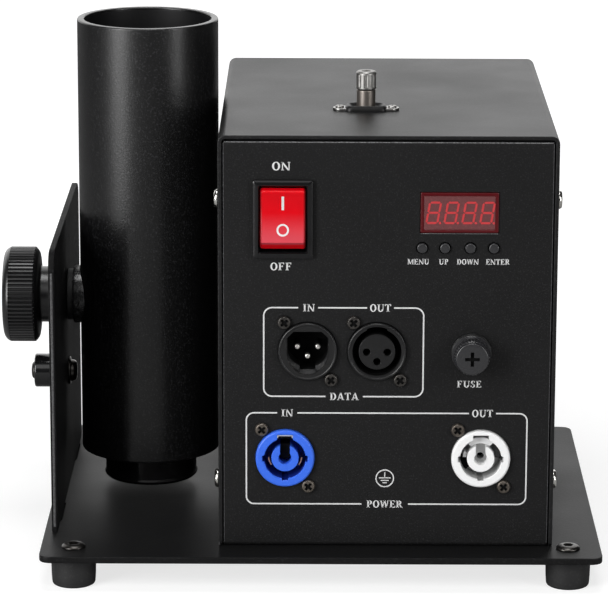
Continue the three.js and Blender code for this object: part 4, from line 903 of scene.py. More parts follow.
hole_places = [(x, y - 1.1) for x, y in pin_places]
slot = slotted_bore(9.9, [(pi / 2, 4, 10.4)])
output_profile = [(10.02, 1.6, slot), (9.9, 1.3, slot), (9.9, -1, slot), (9.9, -1.2), (9.9, -16.3)]
output_ring = data_ring([*output_profile, (10.6, -16.3), (10.7, -3)])
# Flat black sheets line the bore, its key slot, the core's holes and its outside, and floor the gap round the
# core: painted shade inside the socket.
output_bore_shade = together(
    turned([(9.89, -1.3), (9.89, -11), (9.8, -11), (9.8, -1.3)], sides=96),
    turned([(9.88, 1.2, slot), (9.88, -0.9, slot), (9.8, -0.9, slot), (9.8, 1.1, slot)], sides=144),
    copies(turned([(1.42, -9), (1.49, -9), (1.49, 1.15), (1.42, 1.05)], sides=28), hole_places),
    turned([(7.42, 0.9), (7.5, 0.9), (7.5, -10.9), (7.42, -10.9)], sides=72),
    slab(circle(0, 0, 9.7, 72), [circle(0, 0, 7.5, 72)], -11, -10.9),
)
output_core = together(
    slab(circle(0, 0, 7.4, 72), [circle(x, y, 1.5, 28) for x, y in hole_places], -13.5, 1.4, 0.35),
    slab(circle(0, 0, 9.6, 72), [], -16, -11, 0.1),
)
hole_sleeve = turned([(0.95, -13), (1.35, -13), (1.35, -8), (0.95, -8)], 0.1, sides=24)
for name, shape, coat, slot, *nodes in (
    ("in_ring", together(input_ring, socket_back()), satin_socket, "black_plastic", "data_in_shell"),
    ("in_lip", turned(input_lip, sides=240), sheen_grey, "black_plastic"),
    ("in_lining", turned(input_bore_shade, sides=240), shade_black, "black_plastic"),
    ("in_pins", copies(pin, pin_places), pin_metal, "bright_steel", "data_in_insert"),
    ("in_sleeves", copies(pin_shade_sleeve, pin_places), shade_black, "black_plastic"),
    ("in_floor", input_floor_shade, shade_black, "black_plastic"),
    ("out_ring", together(output_ring, socket_back()), satin_socket, "black_plastic", "data_out_shell"),
    ("out_lining", output_bore_shade, shade_black, "black_plastic"),
    ("out_core", output_core, satin_socket, "black_plastic", "data_out_insert"),
    ("out_sleeves", copies(hole_sleeve, hole_places), pin_metal, "brass"),
):
    spot = on_panel(*socket_places["data_in" if name.startswith("in") else "data_out"])
    build(f"data_{name}", shape, spot, coat, slot, *nodes)

# Power sockets. Twist-lock mains sockets moulded in one piece, blue for the inlet and white for the
# outlet. A keyed channel runs round a post with a shallow keyhole, and contact blades show in the channel.


def power_post():
    """The post's outline: a disc with a keyhole that opens at its top."""
    radius, hole, half_slot = 5.6, 2.65, 2.0
    top, low = asin(half_slot / radius), asin(half_slot / hole)
    outline = [(radius, pi / 2 - top - (2 * pi - 2 * top) * i / 48) for i in range(49)]
    outline += [(hole, pi / 2 + low + (2 * pi - 2 * low) * i / 16) for i in range(17)]
    return [(reach * cos(turn), reach * sin(turn)) for reach, turn in reversed(outline)]


def band(x, y, outer, inner, start, end, steps):
    """A curved stretch between two ovals of those half sizes, from one direction in degrees to another."""
    turns = [radians(start + (end - start) * i / steps) for i in range(steps + 1)]
    found = [(x + outer[0] * cos(t), y + outer[1] * sin(t)) for t in turns]
    return found + [(x + inner[0] * cos(t), y + inner[1] * sin(t)) for t in reversed(turns)]


def arc(near, far, start, end, low, high):
    """A curved wall between two radii and two directions in degrees."""
    return slab(band(0, 0, (far, far), (near, near), start, end, 12), [], low, high, 0.08, steps=1)


key_slots = [(direction, 1.3, 9.25) for direction in (-pi / 2, 0, pi)]
power_bore = slotted_bore(8.5, [(pi / 2, 3.2, 10), *key_slots])
power_profile = [(12, -2), (12, 1.5), (11.4, 2), (8.75, 2, power_bore), (8.5, 1.7, power_bore)]
power_profile += [(8.5, -9, power_bore), (10.2, -9.5), (10.7, -3)]

# Colour, fleck, share of flecks, roughness and gloss of each moulding
moulding_looks = {
    "socket_blue": ((0.035, 0.135, 0.72), (0.09, 0.22, 0.8), 0.2, 0.38, 0.4),
    "socket_white": ((0.82, 0.82, 0.82), (0.7, 0.7, 0.7), 0.2, 0.38, 0.4),
    # The shade entries, the blue floor shade and the slot shade grey are darker copies of the mouldings,
    # painted shade inside the sockets; the notch highlight is a painted highlight.
    "blue_shade": ((0.006, 0.02, 0.2), (0.01, 0.03, 0.24), 0.2, 0.5, 0.2),
    "white_shade": ((0.42, 0.42, 0.42), (0.36, 0.36, 0.36), 0.2, 0.5, 0.2),
    "blue_floor_shade": ((0.02, 0.06, 0.5), (0.03, 0.08, 0.6), 0.2, 0.6, 0.1),
    "notch_highlight": ((0.4, 0.42, 0.5), (0.3, 0.3, 0.4), 0.3, 0.5, 0.5),
    "slot_shade_grey": ((0.11, 0.11, 0.11), (0.08, 0.08, 0.08), 0.2, 0.6, 0.2),
}
moulded = {
    name: finish(name, colour, fleck, share, 0.7, rough, 0.05, gloss=gloss)
    for name, (colour, fleck, share, rough, gloss) in moulding_looks.items()
}
contact_copper = metal("contact_copper", (0.8, 0.5, 0.42), (0.5, 0.28, 0.2), 0.4, 0.3, 0.08, depth=0)

# Black pieces where shade falls: the bottom under the post's keyhole, the inlet's keyhole slot and its top
# notch, and a stretch on the left of the outlet's channel: painted shade.
keyhole_bottom_shade = slab(circle(0, 0, 5.5, 48), [], -11, -9.2, 0.1)
block_half, block_turns = 1.98, [pi * (1 + k / 23) for k in range(24)]
block_outline = [(block_half, 5.2), (-block_half, 5.2)]
block_outline += [(block_half * cos(t), 0.7 + block_half * sin(t)) for t in block_turns]
blue_shade_fill = [keyhole_bottom_shade, slab(block_outline, [], -9.2, -2.6, 0.1)]
blue_shade_fill.append(slab(rectangle(-2.8, 8.2, 2.8, 9.6), [], -3, 0.3, 0.1))
blue_blades = [arc(6.5, 7.1, 185, 215, -9.2, -2.5), arc(6.5, 7.1, -35, -5, -9.2, -2.5)]
blue_blades.append(slab(rectangle(-0.6, -1.7, 0.6, -1.2), [], -9.2, -4.5, 0.08, steps=1))
# In the outlet the contacts are drawn in the socket's white; the left one, a blade's end, is white instead of
# metal as a painted highlight.
white_blades = [arc(5.9, 7.2, 160, 179, -9.2, -1), arc(5.8, 8.4, 50, 132, -9.2, -1.6)]
white_shade_fill = [keyhole_bottom_shade, arc(5.8, 8.3, 184, 226, -9.1, -4)]
socket_white = moulded["socket_white"]
for name, colour, floor, blades, blade_coat, painted_shade_pieces in (
    ("power_in", "blue", moulded["blue_floor_shade"], blue_blades, contact_copper, blue_shade_fill),
    ("power_out", "white", socket_white, white_blades, socket_white, white_shade_fill),
):
    spot, slot = on_panel(*socket_places[name]), f"{colour}_plastic"
    # The bore's lining in the darker shade copy of the moulding: painted shade.
    lining = [(8.49, 1.2, power_bore), (8.49, -9, power_bore), (8.4, -9, power_bore), (8.4, 1.1, power_bore)]
    build(f"{name}_lining", turned(lining, sides=240), spot, moulded[f"{colour}_shade"], slot)
    post = slab(power_post(), [], -9.6, 1.2, 0.25)
    moulding = together(turned(power_profile, 0.3, sides=240), post, socket_back())
    build(f"{name}_moulding", moulding, spot, moulded[f"socket_{colour}"], slot, f"{name}_socket")
    # The channel's floor: a darker blue in the inlet as painted shade, plain white in the outlet.
    channel = slab(circle(0, 0, 10.4, 72), [circle(0, 0, 5.4, 48)], -11, -9.2, 0.1)
    build(f"{name}_channel", channel, spot, floor, slot)
    build(f"{name}_hollows", together(*painted_shade_pieces), spot, shade_black, slot)
    build(f"{name}_contacts", together(*blades), spot, blade_coat, "brass")
# A pale rim round the inlet's top notch: painted highlight on the notch's edge.
latch_outer, latch_inner = [
    eased([(-half, 8.9), (-half, top), (half, top), (half, 8.9)], corner, closed=False, steps=4)
    for half, top, corner in ((3.15, 9.95, 0.7), (2.85, 9.65, 0.5))
]
latch_highlight = slab(latch_outer + latch_inner[::-1], [], 0.8, 1.9, 0.05)
# A grey stretch on the right of the outlet's channel: painted shade.
blind_slot = arc(6.2, 8.3, -10, 46, -9.1, -5)
# A darker white that fills the outlet's keyhole below 3.5 mm, with a round hole to the black under it:
# painted shade.
white_keyhole_shade = slab(circle(0, 0, 5.3, 48), [circle(0, 0, 1.45, 24)], -9.1, -3.5, 0.1)
blue_seat, white_seat = [on_panel(*socket_places[name]) for name in ("power_in", "power_out")]
build("power_in_latch_edge", latch_highlight, blue_seat, moulded["notch_highlight"], "blue_plastic")
build("power_out_blind_slot", blind_slot, white_seat, moulded["slot_shade_grey"], "white_plastic")
build("power_out_keyhole_shade", white_keyhole_shade, white_seat, moulded["white_shade"], "white_plastic")

# Socket screws. Zinc-plated cross-head screws, two to each socket, darkened and a little stained.
stained_zinc = metal("stained_zinc", (0.2, 0.175, 0.15), (0.07, 0.06, 0.052), 0.7, 0.42, 0.08, depth=0.004)
smoked_zinc = metal("smoked_zinc", (0.1, 0.094, 0.088), (0.04, 0.037, 0.034), 0.7, 0.4, 0.08, depth=0.004)


def cross_plug(arm, half, low, high):
    """The shade at the bottom of a cross recess, as a solid cross."""
    return together(
        slab(rectangle(-arm, -half, arm, half), [], low, high),
        slab(rectangle(-half, -arm, half, arm), [], low, high + 0.001),
    )


for name, (x, z) in socket_places.items():
    zinc = stained_zinc if name.startswith("power") else smoked_zinc
    for number, side in ((1, -1), (2, 1)):
        spot = on_panel(x + side * screw_side, z - side * screw_rise)
        spot = spot @ Matrix.Rotation(radians(9 * number + 32), 4, "Z")
        screw, shade = cross_screw(2.85, 1.7, 1.4, 6, 1.9, 0.6, 1.4), cross_plug(1.88, 0.58, 0.1, 0.9)
        build(f"{name}_cross_screw_{number}", screw, spot, zinc, "dark_steel", f"{name}_screw_{number}")
        build(f"{name}_screw_shade_{number}", shade, spot, shade_black, "dark_steel")

# Fuse holder. A moulded holder clamped to the panel by a nut, its ribbed cap slotted for a screwdriver
# or a thumb, and the glass fuse that the cap draws out.
fuse_seat = on_panel(fuse_x, fuse_z)
holder_profile = [
    (0, -32), (6.2, -32), (6.2, -4.5), (9, -4.5, hexagon), (9, -1.5, hexagon), (6.2, -1.5),
    (6.2, 0), (8.2, 0), (8.2, 1.4), (4.4, 1.4), (4.4, -29), (0, -29),
]
build("fuse_sleeve", turned(holder_profile, 0.25), fuse_seat, satin_socket, "black_plastic", "fuse_holder")


def ribs(count, depth_share, land=0.5):
    """Reach of a ribbed rim, from one at the ribs down to one less the share in the valleys."""

    def reach(turn):
        spot = turn * count / (2 * pi) % 1
        slope = (1 - land) / 2
        if spot < land:
            return 1
        lift = abs((spot - land - slope) / slope)
        return 1 - depth_share * (1 - lift**2)

    return reach


cap_ribs, cap_slot = ribs(36, 0.05), cross(3, 0.7)
cap_profile = [
    (2.9, -6.3), (4.1, -6.3), (4.1, 1.7), (7.9, 1.7), (7.9, 3.0), (7.2, 4.1), (7.2, 4.2, cap_ribs),
    (7.3, 4.4, cap_ribs), (7.3, 7.9, cap_ribs), (7.05, 8.3, cap_ribs), (6.6, 8.6), (6.6, 10.4), (3.6, 10.4),
    (1, 10.4, cap_slot), (0.97, 8.0, cap_slot), (0.01, 7.95), (0.01, -1.3), (2.9, -1.3),
]
fuse_cap = turned(cap_profile, 0.5, sides=288)
# A pale ring round the cap's rear rim: painted sheen of the light from above.
cap_rim = turned([(7.6, 1.75), (7.98, 1.75), (7.98, 2.9), (7.6, 3.3)], 0.1, sides=96)
cap_shade = cross_plug(2.95, 0.68, 8.02, 9.0)
build("fuse_ribbed_cap", fuse_cap, fuse_seat, cap_plastic, "black_plastic", "fuse_cap", body="fuse_top")
build("fuse_cap_rim", cap_rim, fuse_seat, sheen_grey, "black_plastic", body="fuse_top")
build("fuse_slot_shade", cap_shade, fuse_seat, shade_black, "black_plastic", body="fuse_top")

clear_glass = finish(
    "clear_glass", (0.85, 0.9, 0.88), (0.8, 0.85, 0.83), 0.1, 3.0, 0.04, 0.02, depth=0,
    Transmission_Weight=0.9, IOR=1.5,
)
fuse_top, fuse_foot, end_length = -1.6, -21.6, 5
glass = [(1.9, fuse_foot + 0.6), (2.35, fuse_foot + 0.6), (2.35, fuse_top - 0.6), (1.9, fuse_top - 0.6)]
build("fuse_glass", turned(glass, sides=40), fuse_seat, clear_glass, "clear_glass", "fuse", body="fuse_link")
ends = [rod(low, low + end_length, 2.6, 0.35, 40) for low in (fuse_foot, fuse_top - end_length)]
build("fuse_ends", together(*ends), fuse_seat, bright_nickel, "bright_steel", body="fuse_link")
wire = rod(fuse_foot + 4.6, fuse_top - 4.6, 0.12, 0)
build("fuse_wire", wire, fuse_seat, pin_metal, "bright_steel", body="fuse_link")

# Panel print. Screen-printed white ink: plain captions in a bold book face, two rounded boxes round the
# socket pairs and the earth sign. A letter is drawn one unit high, as strokes and a width.
stem_width, hair, foot_reach, foot_thickness = 0.21, 0.1, 0.085, 0.09


def upright(x, width=stem_width, feet="both"):
    half = width / 2
    found, reach = [rectangle(x - half, 0, x + half, 1)], half + foot_reach
    if feet in ("both", "low"):
        found.append(rectangle(x - reach, 0, x + reach, foot_thickness))
    if feet in ("both", "high"):
        found.append(rectangle(x - reach, 1 - foot_thickness, x + reach, 1))
    return found


def crossbar(x0, x1, y):
    return rectangle(x0, y - hair / 2, x1, y + hair / 2)


def beak(x, y0, y1):
    return rectangle(x - hair / 2, y0, x + hair / 2, y1)


def slant(x0, y0, x1, y1, width):
    half = width / 2
    return [(x0 - half, y0), (x0 + half, y0), (x1 + half, y1), (x1 - half, y1)]


def bowl(x, y, reach_x, reach_y, start, end):
    """Part of an oval that is thick at its sides and thin at its top and bottom."""
    return band(x, y, (reach_x, reach_y), (reach_x - stem_width, reach_y - hair), start, end, 20)


f_strokes = upright(0.22) + [crossbar(0.22, 0.68, 0.962), crossbar(0.3, 0.52, 0.52)]
f_strokes += [beak(0.66, 0.78, 1), beak(0.52, 0.42, 0.62)]
p_strokes = upright(0.22) + [crossbar(0.22, 0.42, 0.962), crossbar(0.22, 0.42, 0.46)]
p_strokes.append(bowl(0.38, 0.711, 0.34, 0.289, -90, 90))
a_strokes = [slant(0.14, 0, 0.45, 1, hair), slant(0.78, 0, 0.46, 1, 0.2), crossbar(0.24, 0.66, 0.3)]
a_feet = [rectangle(0.02, 0, 0.28, foot_thickness), rectangle(0.62, 0, 0.94, foot_thickness)]
d_strokes = upright(0.22) + [crossbar(0.22, 0.4, 0.962), crossbar(0.22, 0.4, 0.038)]
m_strokes = upright(0.15, hair, "low") + upright(1.0, 0.18) + [slant(0.18, 1, 0.56, 0.04, 0.2)]
m_strokes += [slant(0.93, 1, 0.56, 0.04, hair), rectangle(0.02, 0.93, 0.2, 1)]
n_strokes = upright(0.16, hair, "low") + upright(0.84, hair, "high")
s_strokes = [bowl(0.33, 0.745, 0.27, 0.275, 60, 255), bowl(0.33, 0.26, 0.29, 0.28, -120, 80)]
s_strokes += [slant(0.2, 0.62, 0.44, 0.4, 0.24), beak(0.53, 0.72, 0.96), beak(0.08, 0.05, 0.3)]
t_strokes = upright(0.4, stem_width, "low") + [crossbar(0.03, 0.77, 0.962)]
u_strokes = upright(0.22, stem_width, "high")[1:] + upright(0.78, hair, "high")[1:]
u_strokes += [rectangle(0.125, 0.3, 0.315, 1), rectangle(0.742, 0.3, 0.818, 1)]
w_strokes = [slant(0.14, 1, 0.38, 0, 0.18), slant(0.6, 1, 0.38, 0, hair), slant(0.62, 1, 0.86, 0, 0.18)]
w_strokes += [slant(1.08, 1, 0.86, 0, hair), rectangle(0, 0.93, 0.3, 1), rectangle(0.48, 0.93, 0.78, 1)]
letters = {
    "A": (a_strokes + a_feet, 0.94),
    "D": (d_strokes + [bowl(0.36, 0.5, 0.48, 0.5, -90, 90)], 0.88),
    "E": (f_strokes + [crossbar(0.22, 0.7, 0.038), beak(0.7, 0, 0.24)], 0.78),
    "F": (f_strokes, 0.78),
    "I": (upright(0.25), 0.5),
    "M": (m_strokes, 1.16),
    "N": (n_strokes + [slant(0.12, 1, 0.8, 0, 0.2), rectangle(0, 0.93, 0.2, 1)], 0.98),
    "O": ([bowl(0.43, 0.5, 0.42, 0.52, 0, 360)], 0.86),
    "P": (p_strokes, 0.76),
    "R": (p_strokes + [slant(0.48, 0.46, 0.76, 0, 0.19), crossbar(0.7, 0.88, 0.038)], 0.88),
    "S": (s_strokes, 0.66),
    "T": (t_strokes + [beak(0.05, 0.76, 1), beak(0.75, 0.76, 1)], 0.8),
    "U": (u_strokes + [bowl(0.4715, 0.32, 0.3465, 0.34, 180, 360)], 0.96),
    "W": (w_strokes + [rectangle(0.98, 0.93, 1.2, 1)], 1.2),
}


def caption(text, x, z, height=3.1, stretch=1.0):
    """The outlines of a word whose middle is at x and z on the panel."""
    gap = 0.07
    start = -(sum(letters[name][1] for name in text) + gap * (len(text) - 1)) / 2
    outlines = []
    for name in text:
        strokes, width = letters[name]
        for stroke in strokes:
            spread = [(start + px) * height * stretch for px, py in stroke]
            outlines.append([(x + p, z + (py - 0.5) * height) for p, (px, py) in zip(spread, stroke)])
        start += width + gap
    return outlines


def line_box(left, low, right, high, corner, top_gaps, bottom_gap, half=0.29):
    """A rounded box drawn as a line that leaves out the given stretches of its top and bottom."""
    found = []
    for y, gaps in ((high, top_gaps), (low, [bottom_gap])):
        start = left + corner
        for gap_start, gap_end in [*gaps, (right - corner, None)]:
            found.append(rectangle(start, y - half, gap_start, y + half))
            start = gap_end
    for x in (left, right):
        found.append(rectangle(x - half, low + corner, x + half, high - corner))
    outer, inner = (corner + half, corner + half), (corner - half, corner - half)
    for x, y, first in ((right, high, 0), (left, high, 90), (left, low, 180), (right, low, 270)):
        x += corner if x == left else -corner
        y += corner if y == low else -corner
        found.append(band(x, y, outer, inner, first, first + 90, 10))
    return found


def earth_sign(x, z, radius):
    found = [band(x, z, (radius, radius), (radius - 0.45, radius - 0.45), 0, 360, 40)]
    found.append(rectangle(x - 0.2, z + 0.2, x + 0.2, z + 2.6))
    for width, level in ((4.8, 0.2), (3.2, -0.9), (1.7, -1.9)):
        found.append(rectangle(x - width / 2, z + level - 0.2, x + width / 2, z + level + 0.2))
    return found


captions = [
    ("ON", 25.5, 159.4, 3.45, 1.12), ("OFF", 25.5, 118.1, 3.15, 1.08), ("MENU", 80.8, 120.3, 2.3, 0.93),
    ("UP", 91.0, 120.3, 2.3, 0.93), ("DOWN", 100.7, 120.3, 2.3, 0.93), ("ENTER", 112.8, 120.3, 2.3, 0.93),
    ("FUSE", 102, 69.2, 2.8, 1.05), ("IN", 36.7, 101.0), ("OUT", 65.7, 101.0), ("DATA", 51.2, 63.8),
    ("IN", 28.0, 56.8), ("OUT", 107.6, 56.8), ("POWER", 68.0, 18.1),
]
ink = [outline for words in captions for outline in caption(*words)]
ink += line_box(18.5, 63.8, 83.2, 101.0, 3.4, [(32.4, 40.5), (60.3, 71.2)], (43.6, 58.8))
ink += line_box(11.4, 18.1, 125.8, 56.8, 3.2, [(24.0, 32.2), (102.1, 113.1)], (58.5, 77.6))
ink += earth_sign(68.0, 29.1, 3.8)
panel_print = together(*[slab(outline, [], -0.02, 0.05, steps=1) for outline in ink])
build("panel_print", panel_print, on_panel(0, 0), print_white, crease=10)

# Aerial post. On the box top an eared nickel flange under a moulded collar holds a smooth dark post,
# and a fluted nickel cap with a hexagon socket screws onto it.
aerial_x, aerial_y, flange_thickness = 60, 55, 1.1
flange_top = box_height + flange_thickness
aerial_seat = seat(aerial_x, aerial_y, flange_top)


def stadium(length, width, steps=12):
    half = (length - width) / 2
    turns = [pi * i / steps - pi / 2 for i in range(steps + 1)]
    right = [(half + width / 2 * cos(t), width / 2 * sin(t)) for t in turns]
    return right + [(-x, -y) for x, y in right]


def flutes(count, bite_share, width_share):
    """Reach of a fluted rim with hollow grooves between plain lands."""

    def reach(turn):
        spot = abs(turn * count / (2 * pi) % 1 - 0.5) / (width_share / 2)
        return 1 - bite_share * sqrt(max(0, 1 - spot**2))

    return reach


satin_nickel = metal("satin_nickel", (0.34, 0.335, 0.325), (0.18, 0.165, 0.145), 0.4, 0.34, 0.05)
dark_nickel = metal("dark_nickel", (0.24, 0.215, 0.195), (0.15, 0.13, 0.115), 0.4, 0.44, 0.03)
cap_nickel = metal("cap_nickel", (0.3, 0.295, 0.285), (0.12, 0.11, 0.1), 0.4, 0.42, 0.05)
collar_black = finish(
    "collar_black", (0.004, 0.004, 0.0042), (0.02, 0.02, 0.02), 0.2, 0.6, 0.42, 0.04, depth=0.01, gloss=0.3
)
ear_places = [(side * 10.9, 0, flange_thickness) for side in (-1, 1)]
ears = together(
    slab(stadium(27.6, 7), [circle(0, 0, 2.7)], 0, flange_thickness, 0.3),
    copies(cross_screw(1.8, 0.8, 1.0, 0.6, 0.95, 0.25, 0.5), ear_places),
)
ear_seat = seat(aerial_x, aerial_y, box_height)
build("aerial_ears", ears, ear_seat, satin_nickel, "bright_steel", "aerial_flange")
collar_stations = [
    (17.5, 10, 3.4, -1.1), (17.5, 10, 3.4, -0.4), (17.0, 9.5, 3.2, 0.4), (15.8, 8.8, 3.1, 1.0),
    (14.8, 8.3, 3.1, 1.15), (13.9, 7.9, 3.1, 1.05), (12.0, 7.2, 3.2, 0.1), (8.6, 6.8, 3.3, -0.3),
]
collar = framed(collar_stations)
build("aerial_moulded_collar", collar, aerial_seat, collar_black, "black_rubber", "aerial_collar")
post_profile = [(0, -11.7), (2.4, -11.7), (2.4, 0), (3.9, 0), (3.9, 7.6), (2.4, 7.6), (2.4, 12.6), (0, 12.6)]
build("aerial_smooth_post", turned(post_profile, 0.4), aerial_seat, dark_nickel, "dark_steel", "aerial_post")
cap_flutes = flutes(8, 0.17, 0.62)
fluted_profile = [
    (2.7, 0), (4.1, 0), (4.2, 0.3), (4.2, 0.8), (4.2, 1.0, cap_flutes), (4.2, 6.0, cap_flutes), (4.2, 6.2),
    (4.2, 6.8), (3.6, 7.4), (2.3, 7.4), (2.0, 7.35, hexagon), (1.95, 6.5, hexagon), (0.01, 6.45),
    (0.01, 5.0), (2.7, 5.0),
]
build(
    "aerial_fluted_cap",
    turned(fluted_profile, 0.2, sides=192, steps=2),
    seat(aerial_x, aerial_y, flange_top + 7.9) @ Matrix.Rotation(radians(22.5), 4, "Z"),
    cap_nickel, "bright_steel", "aerial_cap", body="aerial_top",
)

# Power supply. A folded aluminium case on short feet on the chassis floor, out of sight in use.
milled_case = metal("milled_case", (0.55, 0.55, 0.55), (0.4, 0.4, 0.4), 0.3, 0.4, 0.1, depth=0.005)
carry_over("power_supply", milled_case)

# Barrel. A steel tube with a rolled and turned mouth, coated satin black inside and out. A moulded neck
# plugs its foot, and a brass contact in the plug meets the cartridge.
pivot_x = -32
barrel_seat = seat(pivot_x, pivot_y, pivot_z)
barrel_radius, barrel_wall, barrel_low, barrel_top = 29.8, 3, -67, 120.5
bore_radius = barrel_radius - barrel_wall
coated_barrel = finish(
    "coated_barrel", (0.0028, 0.0028, 0.003), (0.05, 0.05, 0.053), 0.38, 0.6, 0.3, 0.03, depth=0.045
)
# A dull black lining inside the bore, darker than the tube's coat: painted shade inside the tube.
bore_shade_coat = finish(
    "bore_shade_coat", (0.0035, 0.0035, 0.004), (0.01, 0.01, 0.011), 0.3, 0.9, 0.5, 0.04, depth=0.03, gloss=0.3
)
turned_brass = metal("turned_brass", (0.72, 0.5, 0.2), (0.4, 0.25, 0.1), 0.4, 0.25, 0.08)
tube_inner, plug_radius, plug_top = bore_radius + 0.05, bore_radius - 0.3, barrel_low + 9
sleeve = [(tube_inner, barrel_low), (barrel_radius, barrel_low)]
sleeve += [(barrel_radius, barrel_top), (tube_inner, barrel_top)]
# Where the painted shade lines the bore: from above the plug to below the mouth.
soot = [(bore_radius, plug_top + 0.5), (bore_radius + 0.06, plug_top + 0.5)]
soot += [(bore_radius + 0.06, barrel_top - 1.2), (bore_radius, barrel_top - 1.4)]
neck = [(16.7, -13), (19.2, -13), (20.1, -12), (20.1, -11.2), (19.7, -11), (19.7, -1.2), (20.1, -0.8)]
neck += [(20.1, -0.02), (plug_radius, 0), (plug_radius, 9), (3.3, 9), (3.3, 5.6), (16.7, 5.6)]
neck = [(reach, barrel_low + height) for reach, height in neck]
contact = [(0, -5.4), (3, -5.4), (3, 0), (9, 0), (9, 2), (4, 2), (4, 6), (0, 8)]
contact = [(reach, plug_top + height) for reach, height in contact]
for name, shape, coat, slot, *nodes in (
    ("sleeve", turned(sleeve, 0.75, sides=160, steps=4), coated_barrel, "barrel_paint", "barrel_tube"),
    ("soot", turned(soot, sides=160), bore_shade_coat, "barrel_paint"),
    ("foot", turned(neck, 0.35, sides=96, steps=2), moulded_gloss, "black_plastic", "barrel_neck"),
    ("contact", turned(contact, 0.5), turned_brass, "brass", "firing_contact"),
):
    build(f"barrel_{name}", shape, barrel_seat, coat, slot, *nodes, body="barrel")

# Pivot. A turned steel saddle welded to the tube carries the bolt; a fibre washer rubs on the bracket,
# and outside it the ribbed clamp knob screws onto the bolt.
pivot_seat = seat(pivot_x, pivot_y, pivot_z, "left")
saddle_start = 32.6


def saddle_shape(radius=12.5, edge=0.9, sides=72, tube_radius=30.1):
    """A round block whose inner end is hollowed to the tube."""
    rings = [(0.0, 1), (radius - edge, 1), (radius - 0.3, 0.9), (radius, 0), (radius, None), (0.0, None)]
    points = []
    for reach, level in rings:
        for x, y in circle(0, 0, reach, sides):
            if level is None:
                depth = sqrt(tube_radius**2 - x**2)
            else:
                depth = saddle_start - edge * (1 - level)
            points.append(Vector((x, y, depth)))
    return points, ring_faces(len(rings), sides)


# The saddle's black is lighter and more flecked than the tube's coat: painted highlights on the saddle,
# besides its higher gloss.
cast_gloss = finish(
    "cast_gloss", (0.012, 0.012, 0.0125), (0.08, 0.08, 0.084), 0.3, 1.6, 0.26, 0.05, depth=0.14, gloss=0.6
)
knob_black = finish(
    "knob_black", (0.006, 0.006, 0.0065), (0.03, 0.03, 0.03), 0.2, 0.5, 0.3, 0.04, depth=0.01, gloss=0.6
)
build("saddle_block", saddle_shape(), pivot_seat, cast_gloss, "black_steel", "saddle_spacer", body="barrel")
bolt_hole, washer_reach, washer_thickness = 4.3, 11, 2.5
washer = [(bolt_hole, 0), (washer_reach, 0), (washer_reach, washer_thickness), (bolt_hole, washer_thickness)]
washer_seat = seat(pivot_x - saddle_start, pivot_y, pivot_z, "left")
build(
    "fibre_washer", turned(washer, 0.4, sides=64), washer_seat, rubber_black, "black_rubber",
    "friction_washer", body="barrel",
)
bolt = rod(30.2, 53.5, 4, 0.5, 48)
build("clamp_bolt", bolt, pivot_seat, blackened_steel, "dark_steel", "pivot_bolt", body="barrel")
knob_ribs = ribs(70, 0.05, 0.4)
knob_profile = [
    (4.3, 0), (12, 0), (12, 8.2), (12.6, 8.8), (18.4, 9.2), (19.8, 10.2), (20.0, 10.5, knob_ribs),
    (20.3, 10.7, knob_ribs), (20.4, 11.0, knob_ribs), (20.4, 21.2, knob_ribs), (20.3, 21.5), (19.9, 22.4),
    (18.9, 23.4), (17.6, 24.0), (13.0, 24.0), (12.4, 23.5), (0.01, 23.5), (0.01, 16), (4.3, 16),
]
knob = turned(knob_profile, 0.5, sides=560, steps=2)
knob_seat = seat(bracket_outer - 0.3, pivot_y, pivot_z, "left")
build("knob_moulding", knob, knob_seat, knob_black, "black_plastic", "clamp_knob", body="knob")

# Studio. A white floor and a white wall behind it, a tall soft box to each side, a broad one above the
# camera and a small one overhead. The floor is plain white away from the part and keeps the part's
# shadow near it.


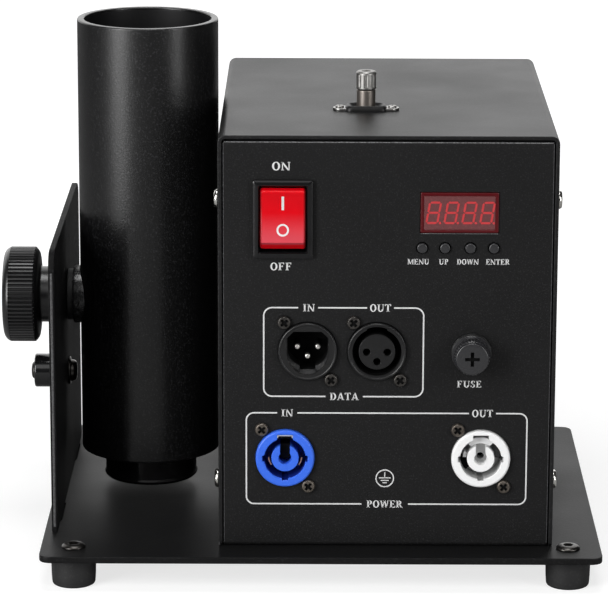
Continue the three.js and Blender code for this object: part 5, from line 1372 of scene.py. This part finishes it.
def stage_sheet(name, corners, kept, seen_by, strength):
    """White paper. It gives some light of its own to the named kinds of ray, less of it near the part."""
    material = bpy.data.materials.new(name)
    material.use_nodes = True
    tree = material.node_tree
    shader = tree.nodes["Principled BSDF"]
    paper = {"Base Color": (kept, kept, kept), "Roughness": 1, "Specular IOR Level": 0}
    for label, value in {**paper, "Emission Color": (1, 1, 1)}.items():
        feed(tree, shader.inputs[label], value)
    path = tree.nodes.new("ShaderNodeLightPath")
    seen = 0
    for kind in seen_by:
        seen = calculate(tree, "MAXIMUM", path.outputs[f"Is {kind} Ray"], seen)
    where = tree.nodes.new("ShaderNodeTexCoord")
    reach = tree.nodes.new("ShaderNodeVectorMath")
    reach.operation = "LENGTH"
    tree.links.new(where.outputs["Object"], reach.inputs[0])
    glow = between(tree, reach.outputs["Value"], shadow_near, shadow_far, *strength)
    tree.links.new(calculate(tree, "MULTIPLY", seen, glow), shader.inputs["Emission Strength"])
    mesh = bpy.data.meshes.new(name)
    mesh.from_pydata([Vector(c) for c in corners], [], [list(range(len(corners)))])
    mesh.materials.append(material)
    sheet = show(name, mesh)


shadow_near, shadow_far, wall_back = 0.16, 0.5, 2.2
floor = [(x, y, 0) for x, y in rectangle(-4, -3, 4, 3)]
wall = [(x, wall_back, z) for x, z in rectangle(-4, 0, 1.2, 3.5)]
stage_sheet("studio_floor", floor, 0.36, ["Camera"], (0.74, 1))
stage_sheet("studio_wall", wall, 0.8, ["Camera", "Glossy", "Transmission"], (1.35, 1.35))

world = bpy.data.worlds.new("studio_world")
bpy.context.scene.world = world
world.use_nodes = True
sky = world.node_tree.nodes["Background"].inputs
sky["Color"].default_value = (1, 1, 1, 1)
sky["Strength"].default_value = 0.05
part_middle = 0.12


def soft_box(name, turn, reach, height, width, tall, power):
    """A lamp at that turn in degrees to the right of the part's front, aimed at the part."""
    light = bpy.data.lights.new(name, "AREA")
    light.shape = "RECTANGLE"
    light.size = width
    light.size_y = tall
    light.energy = power
    lamp = show(name, light)
    spot = Vector((reach * sin(radians(turn)), -reach * cos(radians(turn)), height))
    way = Vector((0, 0, part_middle)) - spot
    lamp.matrix_world = Matrix.Translation(spot) @ way.to_track_quat("-Z", "Y").to_matrix().to_4x4()


soft_box("left_box", -46, 1.35, 0.5, 0.6, 1.0, 20)
soft_box("right_box", 49, 1.35, 0.45, 0.25, 0.9, 6.6)
soft_box("front_box", 0, 1.5, 1.3, 1.7, 0.9, 6.1)
soft_box("top_box", 0, 0.12, 1.5, 0.6, 0.6, 9.5)

bpy.context.scene.view_settings.view_transform = "Standard"
